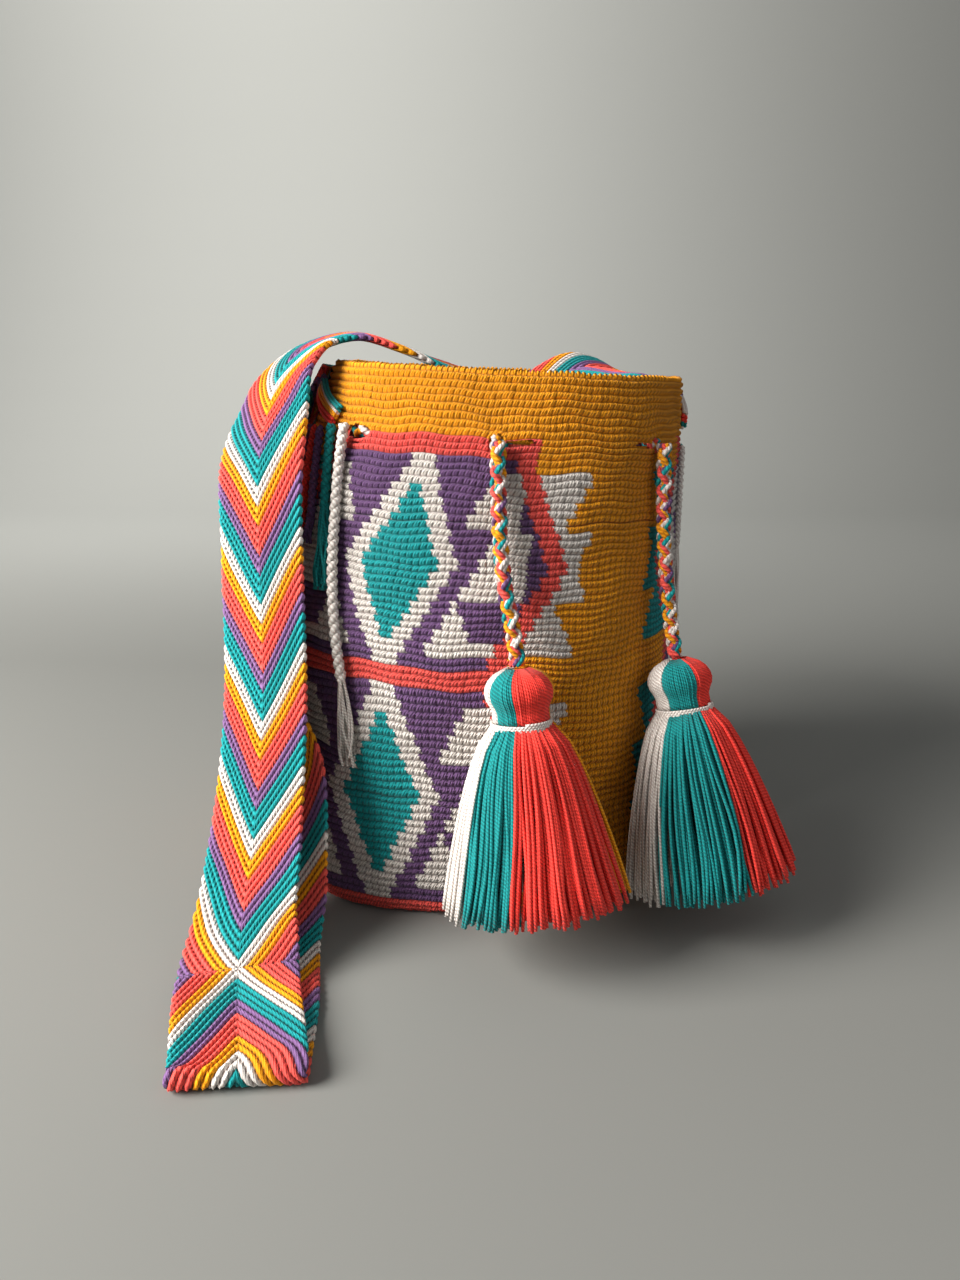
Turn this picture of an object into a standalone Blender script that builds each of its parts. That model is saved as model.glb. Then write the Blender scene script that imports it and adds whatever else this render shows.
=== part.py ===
"""A crocheted bucket bag with a woven shoulder strap, a drawstring and two tassels.

Metres, +Z up. The origin is the middle of the flat base, on the floor.
The front of the bag looks to -Y and its right side to +X.
Angles round the bag start at the front and grow to the right.
"""
import math

import bpy
import bmesh
from mathutils import Vector

# Clearance between neighbouring pieces.
GAP = 0.0004

# The crocheted bag: half sizes of its outside at the base, the belly and the mouth.
BASE_HALF_WIDTH = 0.1185
BASE_HALF_DEPTH = 0.1190
BELLY_HALF_WIDTH = 0.1230
BELLY_HALF_DEPTH = 0.1215
MOUTH_HALF_WIDTH = 0.1030
MOUTH_HALF_DEPTH = 0.0950
BELLY_HEIGHT = 0.135
MOUTH_SHIFT_RIGHT = 0.021
MOUTH_SHIFT_BACK = 0.003
BASE_SQUARENESS = 3.0
BELLY_SQUARENESS = 2.2
MOUTH_SQUARENESS = 2.3
ROUNDS_SLOPE = 0.16
CORNER_SWELL = 0.010
CORNER_TURN = 19.0
WALL = 0.0035
FLOOR = 0.0045
EDGE_TURN = 0.010

# Heights of the coloured bands, from the base turn up to the rim.
LOWER_BAND = 0.129
MIDDLE_LINE = 0.011
UPPER_BAND = 0.110
TOP_LINE = 0.010
RIM_BAND = 0.033
BAG_HEIGHT = EDGE_TURN + LOWER_BAND + MIDDLE_LINE + UPPER_BAND + TOP_LINE + RIM_BAND
RIM_BOTTOM = BAG_HEIGHT - RIM_BAND

# A course is two rounds of stitches. Each course is one ridge in the wall.
BAND_COURSES = 15
RIM_COURSES = 4
RIDGE = 0.0006
GROOVE = 0.0005
BAG_SIDES = 40
INSIDE_RINGS = 7

# The motif, in stitches. It repeats three times round the bag.
REPEATS = 3
REPEAT_STITCHES = 68
MOTIF_TURN = -22.0
MOTIF_LEAN = 0.10
MIDDLE_COURSE = BAND_COURSES // 2
DIAMOND_HALF = 6.5
OUTLINE_HALF = 9.5
PANEL_HALF = 25.0
PANEL_LINE = 3.0
STRIPE = 3.0

# Eyelets for the drawstring, just under the rim band.
EYELET_HEIGHT = RIM_BOTTOM - 0.002
EYELET_TURNS = (-45.0, -90.0, -135.0, 180.0, 135.0, 90.0)
EYELET_LENGTH = 0.026
SLIT_LENGTH = 0.019
SLIT_HEIGHT = 0.0026

# The drawstring and its two free ends.
CORD = 0.0084
CORD_SIDES = 8
HIDDEN_CORD_SIDES = 6
LEFT_EXIT_TURN = -1.0
RIGHT_EXIT_TURN = 50.0
EYELET_CLEARANCE = 0.0006
CORD_STAND = 0.0012
EXIT_SPREAD = 0.0024

# The tassels: a head tied off over a flared skirt, pressed flat by the wall.
HEAD_LENGTH = 0.027
HEAD_HALF_WIDTH = 0.0178
NECK_HALF_WIDTH = 0.0150
SKIRT_LENGTH = 0.0985
LEFT_SKIRT_HALF = (0.0480, 0.0380)
RIGHT_SKIRT_HALF = (0.0530, 0.0455)
SKIRT_FLARE = 0.64
STRAND_RIDGES = 20
STRAND_RIDGE = 0.0009
HANK_GAP = 0.0003
BINDING_HEIGHT = 0.0042
BINDING_THICKNESS = 0.0024
TASSEL_CAP = 0.0035
LEFT_HEAD_DROP = 0.109
LEFT_HEAD_TURN = 9.2
LEFT_FOOT_TURN = 11.5
LEFT_FOOT_OUT = 0.041
RIGHT_HEAD_DROP = 0.117
RIGHT_HEAD_TURN = 50.5
RIGHT_FOOT_TURN = 48.0
RIGHT_FOOT_OUT = 0.049

# The woven strap.
STRAP_WIDTH = 0.061
STRAP_THICKNESS = 0.0038
STRAP_END_WIDTH = 0.042
STRAP_COLUMNS = 6
STRAP_STEP = 0.0143
STRAP_RIDGE = 0.0005
STRAP_BAND = 0.0126
CHEVRON_SLOPE = 1.43
ATTACH_DROP = 0.0285
RIGHT_ATTACH_TURN = 112.0
LEFT_ATTACH_TURN = -90.0
ARCH_RISE = 0.0145
FOLD_RADIUS = 0.0032
FOLD_REACH = 0.1285

# Yarns at the strap's ends.
FRINGE_CORD = 0.0050
LASHING_WIDTH = 0.013
LASHING_THICKNESS = 0.0034

YARNS = {
    "orange": (0.93, 0.36, 0.010),
    "coral": (0.92, 0.085, 0.060),
    "purple": (0.145, 0.055, 0.205),
    "teal": (0.010, 0.300, 0.290),
    "white": (0.80, 0.73, 0.66),
}
YARN_ORDER = ("orange", "coral", "purple", "teal", "white")
YARN_ROUGHNESS = 0.85


def clear_scene():
    for item in list(bpy.data.objects):
        bpy.data.objects.remove(item, do_unlink=True)


def yarn_material(colour):
    name = "yarn_" + colour
    found = bpy.data.materials.get(name)
    if found:
        return found
    material = bpy.data.materials.new(name)
    material.use_nodes = True
    shader = material.node_tree.nodes["Principled BSDF"]
    shader.inputs["Base Color"].default_value = (*YARNS[colour], 1.0)
    shader.inputs["Roughness"].default_value = YARN_ROUGHNESS
    shader.inputs["Metallic"].default_value = 0.0
    return material


def mix(low, high, share):
    return low + (high - low) * share


# Outside of the bag.

def section(z):
    """Centre, half sizes and squareness of the outside at one height."""
    if z < BELLY_HEIGHT:
        share = math.sin(0.5 * math.pi * max(z, 0.0) / BELLY_HEIGHT)
        return (0.0, 0.0,
                mix(BASE_HALF_WIDTH, BELLY_HALF_WIDTH, share),
                mix(BASE_HALF_DEPTH, BELLY_HALF_DEPTH, share),
                mix(BASE_SQUARENESS, BELLY_SQUARENESS, share))
    share = 1.0 - math.cos(0.5 * math.pi * (z - BELLY_HEIGHT) / (BAG_HEIGHT - BELLY_HEIGHT))
    return (MOUTH_SHIFT_RIGHT * share, MOUTH_SHIFT_BACK * share,
            mix(BELLY_HALF_WIDTH, MOUTH_HALF_WIDTH, share),
            mix(BELLY_HALF_DEPTH, MOUTH_HALF_DEPTH, share),
            mix(BELLY_SQUARENESS, MOUTH_SQUARENESS, share))


def reach(turn, z):
    """Distance from the section's centre to the outside, in one direction."""
    half_width, half_depth, power = section(z)[2:]
    side = abs(math.sin(turn)) / half_width
    front = abs(math.cos(turn)) / half_depth
    swell = 1.0 + CORNER_SWELL * math.cos(4.0 * (turn - math.radians(CORNER_TURN)))
    return swell * (side ** power + front ** power) ** (-1.0 / power)


def wall_point(degrees, z, out=0.0):
    """A point on the outside of the wall, moved outwards by out."""
    turn = math.radians(degrees)
    centre_x, centre_y = section(z)[:2]
    radius = reach(turn, z) + out
    x = centre_x + radius * math.sin(turn)
    y = centre_y - radius * math.cos(turn)
    return Vector((x, y, z * (1.0 - ROUNDS_SLOPE * x)))


def outward(degrees, z):
    """The wall's outward direction, level with the floor."""
    along = wall_point(degrees + 0.5, z) - wall_point(degrees - 0.5, z)
    return Vector((along.y, -along.x, 0.0)).normalized()


def beside(degrees, z, out):
    """A point that stands off the wall by out, square to its slope."""
    along = wall_point(degrees + 0.5, z) - wall_point(degrees - 0.5, z)
    up = wall_point(degrees, z + 0.001) - wall_point(degrees, z - 0.001)
    return wall_point(degrees, z) + along.cross(up).normalized() * out


def along_wall(degrees, z):
    """The direction round the wall, to the right as seen from outside."""
    side = outward(degrees, z)
    return Vector((-side.y, side.x, 0.0))


# The motif.

def motif_colour(degrees, band, course, courses_down):
    """Yarn colour of a stitch. course counts down from the top of its band."""
    if band in ("rim", "edge"):
        return "orange"
    stitches = REPEATS * REPEAT_STITCHES
    column = (degrees - MOTIF_TURN) * stitches / 360.0 + MOTIF_LEAN * (courses_down - MIDDLE_COURSE)
    column = (column + 0.5 * REPEAT_STITCHES) % REPEAT_STITCHES - 0.5 * REPEAT_STITCHES
    offset = abs(column)
    away = abs(course - MIDDLE_COURSE)
    if band == "line":
        return "coral" if offset < PANEL_HALF - MIDDLE_COURSE else "orange"
    edge = PANEL_HALF - away
    if offset >= edge:
        return border_colour(column, offset - edge, away)
    if offset >= edge - PANEL_LINE:
        return "coral"
    if offset < DIAMOND_HALF - away and away < MIDDLE_COURSE - 1:
        return "teal"
    if offset < OUTLINE_HALF - away:
        return "white"
    return lane_colour(offset, course)


def border_colour(column, distance, away):
    """Stepped figures that follow the panel's border on the orange ground."""
    if away >= MIDDLE_COURSE:
        return "orange"
    width = 2.0 + 1.5 * away if away < 3 else 2.0 * (away - 2)
    if distance >= width:
        return "orange"
    return "white" if column > 0.0 else "teal"


def lane_colour(offset, course):
    """White pyramids and the purple stripe between the diamond and the border."""
    pyramid_base = MIDDLE_COURSE - 3
    if 1 <= course <= pyramid_base:
        left = OUTLINE_HALF + pyramid_base - course
        return "white" if left <= offset < PANEL_HALF - MIDDLE_COURSE - 0.5 else "purple"
    last = BAND_COURSES - 1
    if pyramid_base < course < last:
        if offset < OUTLINE_HALF + STRIPE + MIDDLE_COURSE - course:
            return "purple"
        if MIDDLE_COURSE + 3 <= course < last - 1:
            return "white" if offset < course + 0.5 else "purple"
        return "white" if offset < PANEL_HALF - 5.5 else "purple"
    return "purple"


# Mesh helpers.

def new_object(name, mesh, colours):
    for colour in colours:
        mesh.materials.append(yarn_material(colour))
    item = bpy.data.objects.new(name, mesh)
    PARTS.objects.link(item)
    return item


def loft(name, rings, colours, face_colour=None, start_point=None, end_point=None):
    """A closed solid through rings of points, with fans or strips at its ends."""
    mesh = bpy.data.meshes.new(name)
    shape = bmesh.new()
    rows = [[shape.verts.new(point) for point in ring] for ring in rings]
    count = len(rows[0])
    for row in range(len(rows) - 1):
        for index in range(count):
            after = (index + 1) % count
            face = shape.faces.new((rows[row][index], rows[row][after],
                                    rows[row + 1][after], rows[row + 1][index]))
            if face_colour:
                face.material_index = colours.index(face_colour(row, index))
    for row, point in ((rows[0], start_point), (rows[-1], end_point)):
        if point is None:
            strip_cap(shape, row)
        else:
            middle = shape.verts.new(point)
            for index in range(count):
                shape.faces.new((row[index], row[(index + 1) % count], middle))
    face_outwards(shape)
    shape.to_mesh(mesh)
    shape.free()
    return new_object(name, mesh, colours)


def face_outwards(shape):
    """Points all faces of a closed mesh outwards."""
    bmesh.ops.recalc_face_normals(shape, faces=shape.faces)
    if shape.calc_volume(signed=True) < 0.0:
        bmesh.ops.reverse_faces(shape, faces=shape.faces)


def strip_cap(shape, row):
    """Closes a flat ring whose second half runs back beside its first."""
    half = len(row) // 2
    for index in range(half - 1):
        other = len(row) - 1 - index
        shape.faces.new((row[index], row[index + 1], row[other - 1], row[other]))


def cord(name, points, radius, colour, round_start=False, sides=CORD_SIDES):
    """A round cord along points, with flat ends, or a round first end."""
    curve = bpy.data.curves.new(name, "CURVE")
    curve.dimensions = "3D"
    curve.bevel_depth = radius
    curve.bevel_resolution = max(0, sides // 2 - 2)
    curve.use_fill_caps = True
    path = [(Vector(point), 1.0) for point in points]
    if round_start:
        path = dome(path[0][0], path[1][0], radius) + path[1:]
    spline = curve.splines.new("POLY")
    spline.points.add(len(path) - 1)
    for spot, (point, share) in zip(spline.points, path):
        spot.co = (*point, 1.0)
        spot.radius = share
    curve.materials.append(yarn_material(colour))
    item = bpy.data.objects.new(name, curve)
    PARTS.objects.link(item)
    return item


def dome(first, second, radius):
    """Points and radius shares that round off the start of a cord."""
    backward = (first - second).normalized()
    spots = []
    for degrees in (75.0, 50.0, 25.0):
        angle = math.radians(degrees)
        spots.append((first + backward * radius * math.sin(angle), math.cos(angle)))
    spots.append((first, 1.0))
    return spots


def smooth_path(points, piece=0.002):
    """A dense smooth curve through unevenly spaced control points."""
    last = len(points) - 1
    gaps = [(Vector(points[index + 1][:3]) - Vector(points[index][:3])).length for index in range(last)]

    def slope(index):
        before = max(index - 1, 0)
        after = min(index + 1, last)
        here = points[index]
        if before == index or after == index:
            gap = gaps[0] if before == index else gaps[-1]
            return [(b - a) / gap for a, b in zip(points[before], points[after])]
        low = gaps[before]
        high = gaps[index]
        return [((h - a) * high / low + (b - h) * low / high) / (low + high)
                for a, h, b in zip(points[before], here, points[after])]

    slopes = [slope(index) for index in range(last + 1)]
    dense = []
    for index in range(last):
        gap = gaps[index]
        pieces = max(3, int(gap / piece))
        for step in range(pieces):
            u = step / pieces
            start = (1.0 + 2.0 * u) * (1.0 - u) ** 2
            end = u * u * (3.0 - 2.0 * u)
            leave = u * (1.0 - u) ** 2 * gap
            arrive = u * u * (u - 1.0) * gap
            dense.append([a * start + b * end + m * leave + n * arrive for a, b, m, n in
                          zip(points[index], points[index + 1], slopes[index], slopes[index + 1])])
    dense.append(list(points[last]))
    return dense


# The bag.

def band_rows():
    """Bands of the wall from the bottom up: kind, height and number of courses."""
    return (("band", LOWER_BAND, BAND_COURSES), ("line", MIDDLE_LINE, 1),
            ("band", UPPER_BAND, BAND_COURSES), ("line", TOP_LINE, 1),
            ("rim", RIM_BAND, RIM_COURSES))


def bag_rings():
    """Rings of the bag's skin, and the band and course that each strip belongs to."""
    turns = [360.0 * index / BAG_SIDES for index in range(BAG_SIDES)]
    rings = []
    strips = []

    def ring(z, out, height=None):
        points = []
        for turn in turns:
            point = wall_point(turn, z, out)
            if height is not None:
                point.z = height
            points.append(point)
        rings.append(points)

    ring(0.0, -0.6 * BASE_HALF_WIDTH, 0.0)
    ring(0.0, -EDGE_TURN, 0.0)
    strips.append(("edge", 0, 0))
    for degrees, kind in ((30.0, "edge"), (60.0, "line"), (90.0, "line")):
        angle = math.radians(degrees)
        z = EDGE_TURN * (1.0 - math.cos(angle))
        ring(z, -EDGE_TURN * (1.0 - math.sin(angle)) - GROOVE)
        strips.append((kind, 0, 2 * BAND_COURSES + 2))
    z = EDGE_TURN
    down = 2 * BAND_COURSES + 2
    for kind, height, courses in band_rows():
        step = height / courses
        for number in range(courses):
            down -= 1
            place = (kind, courses - 1 - number, down)
            ring(z + 0.5 * step, RIDGE)
            ring(z + step, -GROOVE)
            strips.append(place)
            strips.append(place)
            z += step
    ring(BAG_HEIGHT, -WALL)
    strips.append(("rim", 0, 0))
    for number in range(INSIDE_RINGS):
        share = (number + 1) / INSIDE_RINGS
        ring(mix(BAG_HEIGHT, FLOOR + EDGE_TURN, share), -WALL - GROOVE)
        strips.append(("rim", 0, 0))
    ring(0.0, -EDGE_TURN - WALL, FLOOR)
    strips.append(("rim", 0, 0))
    return rings, strips


def build_bag():
    rings, strips = bag_rings()

    def colour_of(row, index):
        band, course, down = strips[row]
        degrees = 360.0 * (index + 0.5) / BAG_SIDES
        return motif_colour(degrees, band, course, down)

    bag = loft("bag_body", rings, YARN_ORDER, colour_of,
               start_point=(0.0, 0.0, 0.0), end_point=(0.0, 0.0, FLOOR))
    hole = 0.5 * CORD + EYELET_CLEARANCE
    for turn in EYELET_TURNS:
        pierce(bag, turn, 0.5 * EYELET_LENGTH, hole)
    for turn, side in ((LEFT_EXIT_TURN, 1.0), (RIGHT_EXIT_TURN, -1.0)):
        pierce(bag, turn, hole + EXIT_SPREAD, hole, shift=-side * 0.5 * EXIT_SPREAD)
        pierce(bag, turn, 0.5 * SLIT_LENGTH, 0.5 * SLIT_HEIGHT, shift=side * 0.5 * SLIT_LENGTH)
    return bag


def pierce(bag, degrees, half_length, half_height, shift=0.0):
    """Cuts an oval eyelet through the wall."""
    z = EYELET_HEIGHT
    side = along_wall(degrees, z)
    out = outward(degrees, z)
    centre = wall_point(degrees, z) + side * shift
    mesh = bpy.data.meshes.new("eyelet_cutter")
    shape = bmesh.new()
    bmesh.ops.create_cone(shape, cap_ends=True, segments=16, radius1=1.0, radius2=1.0, depth=1.0)
    for vert in shape.verts:
        flat_x, flat_y, depth = vert.co
        vert.co = (centre + side * flat_x * half_length + Vector((0.0, 0.0, flat_y * half_height))
                   + out * depth * 6.0 * WALL)
    face_outwards(shape)
    shape.to_mesh(mesh)
    shape.free()
    cutter = bpy.data.objects.new("eyelet_cutter", mesh)
    CUTTERS.objects.link(cutter)
    cutter.hide_render = True
    cutter.display_type = "WIRE"
    cut = bag.modifiers.new("eyelet", "BOOLEAN")
    cut.operation = "DIFFERENCE"
    cut.object = cutter


# The drawstring.

def drawstring_points():
    """Inside the wall from one exit eyelet round the back to the other."""
    inside = -WALL - GROOVE - CORD_STAND - 0.5 * CORD
    z = EYELET_HEIGHT
    radius = reach(0.0, z)
    start = LEFT_EXIT_TURN
    end = RIGHT_EXIT_TURN - 360.0
    points = exit_bend(LEFT_EXIT_TURN, -1.0, inside)
    bend = math.degrees(-inside / radius)
    turn = start - bend - 2.0
    bump_half = math.degrees(0.0115 / radius)
    steps = 150
    first = turn
    last = end + bend + 2.0
    kept = []
    for index in range(steps + 1):
        turn = mix(first, last, index / steps)
        nearest = min(abs((turn - spot + 180.0) % 360.0 - 180.0) for spot in EYELET_TURNS)
        out = inside
        if nearest < bump_half:
            out += 0.0041 * math.cos(0.5 * math.pi * nearest / bump_half) ** 2
        near_bump = nearest < bump_half + 2.5
        if near_bump or index % 5 == 0 or index == steps:
            kept.append(wall_point(turn, z, out))
    points += kept
    points += reversed(exit_bend(RIGHT_EXIT_TURN, 1.0, inside))
    return points


def exit_bend(degrees, side, inside):
    """The quarter turn by which the cord comes out of an exit eyelet."""
    z = EYELET_HEIGHT
    round_wall = along_wall(degrees, z) * side
    out = outward(degrees, z)
    base = wall_point(degrees, z)
    radius = -inside
    points = [base]
    for angle in (22.5, 45.0, 67.5, 90.0):
        turn = math.radians(angle)
        points.append(base + round_wall * radius * (1.0 - math.cos(turn)) - out * radius * math.sin(turn))
    return points


def pivot(degrees):
    """Where a free end of the drawstring starts to hang."""
    stand = RIDGE + GAP + 0.5 * CORD
    return wall_point(degrees, EYELET_HEIGHT) + outward(degrees, EYELET_HEIGHT) * stand


def hanging_points(exit_turn, head_turn, head_drop):
    """The free end from its pivot down to the top of its tassel, lying along the wall."""
    stand = RIDGE + 2.0 * GAP + 0.5 * CORD
    points = [pivot(exit_turn)]
    pieces = 6
    for number in range(1, pieces + 1):
        share = number / pieces
        z = EYELET_HEIGHT - head_drop * share
        out = stand + (HEAD_HALF_WIDTH - 0.5 * CORD) * share * share
        points.append(beside(mix(exit_turn, head_turn, share), z, out))
    return points


# The tassels.

def tassel_frame(head, foot, out):
    """Axis, sideways and outward directions of a hanging tassel."""
    axis = (foot - head).normalized()
    side = Vector((-out.y, out.x, 0.0))
    side = (side - axis * side.dot(axis)).normalized()
    front = side.cross(axis)
    if front.dot(out) < 0.0:
        front = -front
    return axis, side, front


def tassel_profile(skirt_half):
    """Distance down the axis, half width, half depth and ridge height of each ring."""
    rows = []
    for degrees in (14.0, 48.0, 90.0, 132.0):
        angle = math.radians(degrees)
        down = 0.5 * HEAD_LENGTH * (1.0 - math.cos(angle)) * 0.94
        bulb = HEAD_HALF_WIDTH * math.sin(angle)
        size = max(bulb, TASSEL_CAP if degrees < 90.0 else NECK_HALF_WIDTH)
        rows.append((down, size, size, 0.25))
    neck = HEAD_LENGTH
    rows.append((neck - 0.0008, NECK_HALF_WIDTH, NECK_HALF_WIDTH, 0.0))
    rows.append((neck + BINDING_HEIGHT, NECK_HALF_WIDTH, NECK_HALF_WIDTH, 0.0))
    for share in (0.06, 0.2, 0.45, 0.75, 1.0):
        flare = share ** SKIRT_FLARE
        rows.append((neck + BINDING_HEIGHT + (SKIRT_LENGTH - BINDING_HEIGHT) * share,
                     mix(NECK_HALF_WIDTH, skirt_half[0], flare),
                     mix(NECK_HALF_WIDTH, skirt_half[1], flare), 1.0))
    return rows


def hank(name, colour, head, frame, skirt_half, start, end):
    """One colour of a tassel: a wedge of its head and skirt with strand ridges."""
    axis, side, front = frame
    step = 180.0 / STRAND_RIDGES
    inner = [step * number for number in range(int(math.floor(start / step)) + 1,
                                               int(math.ceil(end / step)))]
    rings = []
    for down, half_width, half_depth, ridge_share in tassel_profile(skirt_half):

        def spot(degrees):
            angle = math.radians(degrees)
            return Vector((half_width * math.sin(angle), half_depth * math.cos(angle)))

        first = spot(start)
        last = spot(end)
        first_in = Vector((first.y, -first.x)).normalized()
        last_in = Vector((-last.y, last.x)).normalized()
        across = first_in.x * last_in.y - first_in.y * last_in.x
        tip = Vector((HANK_GAP * (last_in.y - first_in.y) / across,
                      HANK_GAP * (first_in.x - last_in.x) / across))
        flat = [tip, first + first_in * HANK_GAP]
        for degrees in inner:
            point = spot(degrees)
            crest = round(degrees / step) % 2 == 0
            if not crest:
                point -= point.normalized() * STRAND_RIDGE * ridge_share
            flat.append(point)
        flat.append(last + last_in * HANK_GAP)
        rings.append([head + axis * down + side * spot_.x + front * spot_.y for spot_ in flat])
    middle_top = sum(rings[0], Vector()) / len(rings[0])
    middle_end = sum(rings[-1], Vector()) / len(rings[-1])
    return loft(name, rings, (colour,), start_point=middle_top, end_point=middle_end)


def binding(name, head, frame):
    """White thread wound round a tassel's neck, two turns side by side."""
    axis, side, front = frame
    inner = NECK_HALF_WIDTH + GAP
    turns = 2
    low = HEAD_LENGTH
    profile = [(inner, low)]
    for number in range(turns):
        width = BINDING_HEIGHT / turns
        for share, out in ((0.15, 0.5), (0.5, 1.0), (0.85, 0.5)):
            profile.append((inner + BINDING_THICKNESS * out, low + width * (number + share)))
    profile.append((inner, low + BINDING_HEIGHT))
    mesh = bpy.data.meshes.new(name)
    shape = bmesh.new()
    count = 14
    rows = []
    for index in range(count):
        angle = 2.0 * math.pi * index / count
        direction = side * math.sin(angle) + front * math.cos(angle)
        rows.append([shape.verts.new(head + direction * radius + axis * down)
                     for radius, down in profile])
    for index in range(count):
        here = rows[index]
        there = rows[(index + 1) % count]
        for spot in range(len(profile)):
            after = (spot + 1) % len(profile)
            shape.faces.new((here[spot], here[after], there[after], there[spot]))
    face_outwards(shape)
    shape.to_mesh(mesh)
    shape.free()
    return new_object(name, mesh, ("white",))


def build_tassel(side_name, exit_turn, head_turn, head_drop, foot_turn, foot_out, skirt_half, hanks):
    """A free end of the drawstring with the tassel that hangs from it."""
    points = hanging_points(exit_turn, head_turn, head_drop)
    tip = points[-1]
    z_foot = EYELET_HEIGHT - head_drop - HEAD_LENGTH - SKIRT_LENGTH
    foot = wall_point(foot_turn, z_foot, foot_out)
    axis = (foot - tip).normalized()
    points[-2] = mix(points[-2], tip - axis * (tip - points[-2]).length, 0.5)
    points.insert(-1, tip - axis * 0.5 * CORD)
    cord(side_name + "_drawstring_end", points, 0.5 * CORD, "coral", round_start=True)
    head = tip + axis * GAP
    frame = tassel_frame(head, foot, outward(head_turn, EYELET_HEIGHT - head_drop))
    for label, colour, start, end in hanks:
        hank(side_name + "_tassel_" + label, colour, head, frame, skirt_half, start, end)
    binding(side_name + "_tassel_binding", head, frame)


# The strap.

def strap_route():
    """Centre, direction across and width of the strap from its right end to its left end."""
    half = 0.5 * STRAP_THICKNESS
    stand = RIDGE + GAP + half + STRAP_RIDGE
    rim_right = wall_point(90.0, BAG_HEIGHT)
    rim_left = wall_point(-90.0, BAG_HEIGHT)
    rim_back = Vector((0.0, 1.0, 0.0))
    route = []

    def add(point, across, width=STRAP_WIDTH):
        route.append([*point, *Vector(across).normalized(), width])

    def over_mouth(share, back, rise):
        point = rim_left.lerp(rim_right, share)
        return point + rim_back * back + Vector((0.0, 0.0, rise))

    # Sewn inside the back right of the rim. The flat band touches the curved wall with its edges.
    turn = RIGHT_ATTACH_TURN
    across = along_wall(turn, BAG_HEIGHT)
    inside = -WALL - GROOVE - GAP - half - STRAP_RIDGE - 0.125 * STRAP_END_WIDTH ** 2 / MOUTH_HALF_DEPTH
    add(beside(turn, BAG_HEIGHT - ATTACH_DROP, inside), across, STRAP_END_WIDTH)
    add(beside(turn, BAG_HEIGHT - 0.5 * ATTACH_DROP, inside - 0.0006), across, STRAP_END_WIDTH)
    add(beside(turn, BAG_HEIGHT - 0.006, inside - 0.0050), across, 0.5 * (STRAP_END_WIDTH + STRAP_WIDTH))
    # Across the mouth: a hump, a dip and the arch.
    add(over_mouth(0.77, 0.031, 0.0030), (-0.25, 0.93, 0.28))
    add(over_mouth(0.52, 0.018, -0.0130), (-0.05, 0.98, 0.18))
    add(over_mouth(0.29, 0.001, 0.0010), (0.0, 1.0, 0.0))
    add(over_mouth(0.185, -0.006, 0.6 * ARCH_RISE), (-0.05, 1.0, 0.0))
    add(over_mouth(0.06, -0.013, ARCH_RISE), (-0.15, 1.0, 0.04))
    # Over the left side, turning its face to the front as it goes down.
    add(rim_left + Vector((-0.012, -0.024, 0.0075)), (-0.28, 0.94, 0.05))
    add(rim_left + Vector((-0.026, -0.042, -0.0075)), (-0.52, 0.84, 0.03))
    add(rim_left + Vector((-0.031, -0.059, -0.027)), (-0.70, 0.71, 0.0))
    add(rim_left + Vector((-0.0335, -0.080, -0.055)), (-0.82, 0.57, 0.0))
    side = -BELLY_HALF_WIDTH
    front = -BASE_HALF_DEPTH
    middle = BELLY_HEIGHT
    add((side + 0.007, front + 0.031, middle + 0.068), (-0.83, 0.56, 0.0))
    add((side + 0.0085, front + 0.010, middle - 0.006), (-0.83, 0.56, 0.0))
    add((side + 0.0040, front - 0.019, 0.054), (-0.88, 0.47, 0.0))
    floor = half + STRAP_RIDGE + GAP
    upper = floor + 2.0 * FOLD_RADIUS
    add((side + 0.0015, front - 0.042, upper + 0.012), (-0.93, 0.36, 0.0))
    add((side + 0.0035, front - 0.062, upper + 0.0015), (-0.99, 0.10, 0.0))
    # On the floor to the fold.
    fold_y = front - FOLD_REACH
    fold_x = side + 0.0195
    across = (-0.995, -0.09, 0.0)
    add((fold_x - 0.009, fold_y + 0.036, upper), (-0.97, -0.22, 0.0))
    add((fold_x - 0.003, fold_y + 0.014, upper), across)
    add((fold_x, fold_y, upper), across)
    for degrees in (30.0, 60.0, 90.0, 120.0, 150.0):
        angle = math.radians(degrees)
        add((fold_x, fold_y - FOLD_RADIUS * math.sin(angle),
             floor + FOLD_RADIUS * (1.0 + math.cos(angle))), across)
    add((fold_x, fold_y, floor), across)
    # Back under itself and up behind, to the left end of the rim.
    add((fold_x - 0.001, fold_y + 0.016, floor), across)
    add((fold_x - 0.003, fold_y + 0.045, floor), across)
    add((side + 0.0105, front - 0.038, floor + 0.0022), (-0.95, 0.30, 0.0))
    add((side + 0.0140, front - 0.009, 0.024), (-0.85, 0.52, 0.0))
    add((side + 0.0160, front + 0.025, 0.080), (-0.72, 0.69, 0.0))
    add(wall_point(-65.0, middle + 0.005, 0.013), (-0.42, 0.90, 0.0))
    add(wall_point(-78.0, middle + 0.066, 0.011), (-0.20, 0.98, 0.0))
    add(beside(LEFT_ATTACH_TURN + 3.0, BAG_HEIGHT - 0.048, stand + 0.0040), (-0.07, 1.0, 0.0))
    turn = LEFT_ATTACH_TURN
    across = -along_wall(turn, BAG_HEIGHT)
    add(beside(turn, BAG_HEIGHT - 0.024, stand + 0.0026), across, 0.5 * (STRAP_END_WIDTH + STRAP_WIDTH))
    add(beside(turn, BAG_HEIGHT - 0.004, stand + 0.0003), across, STRAP_END_WIDTH)
    return route


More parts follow.
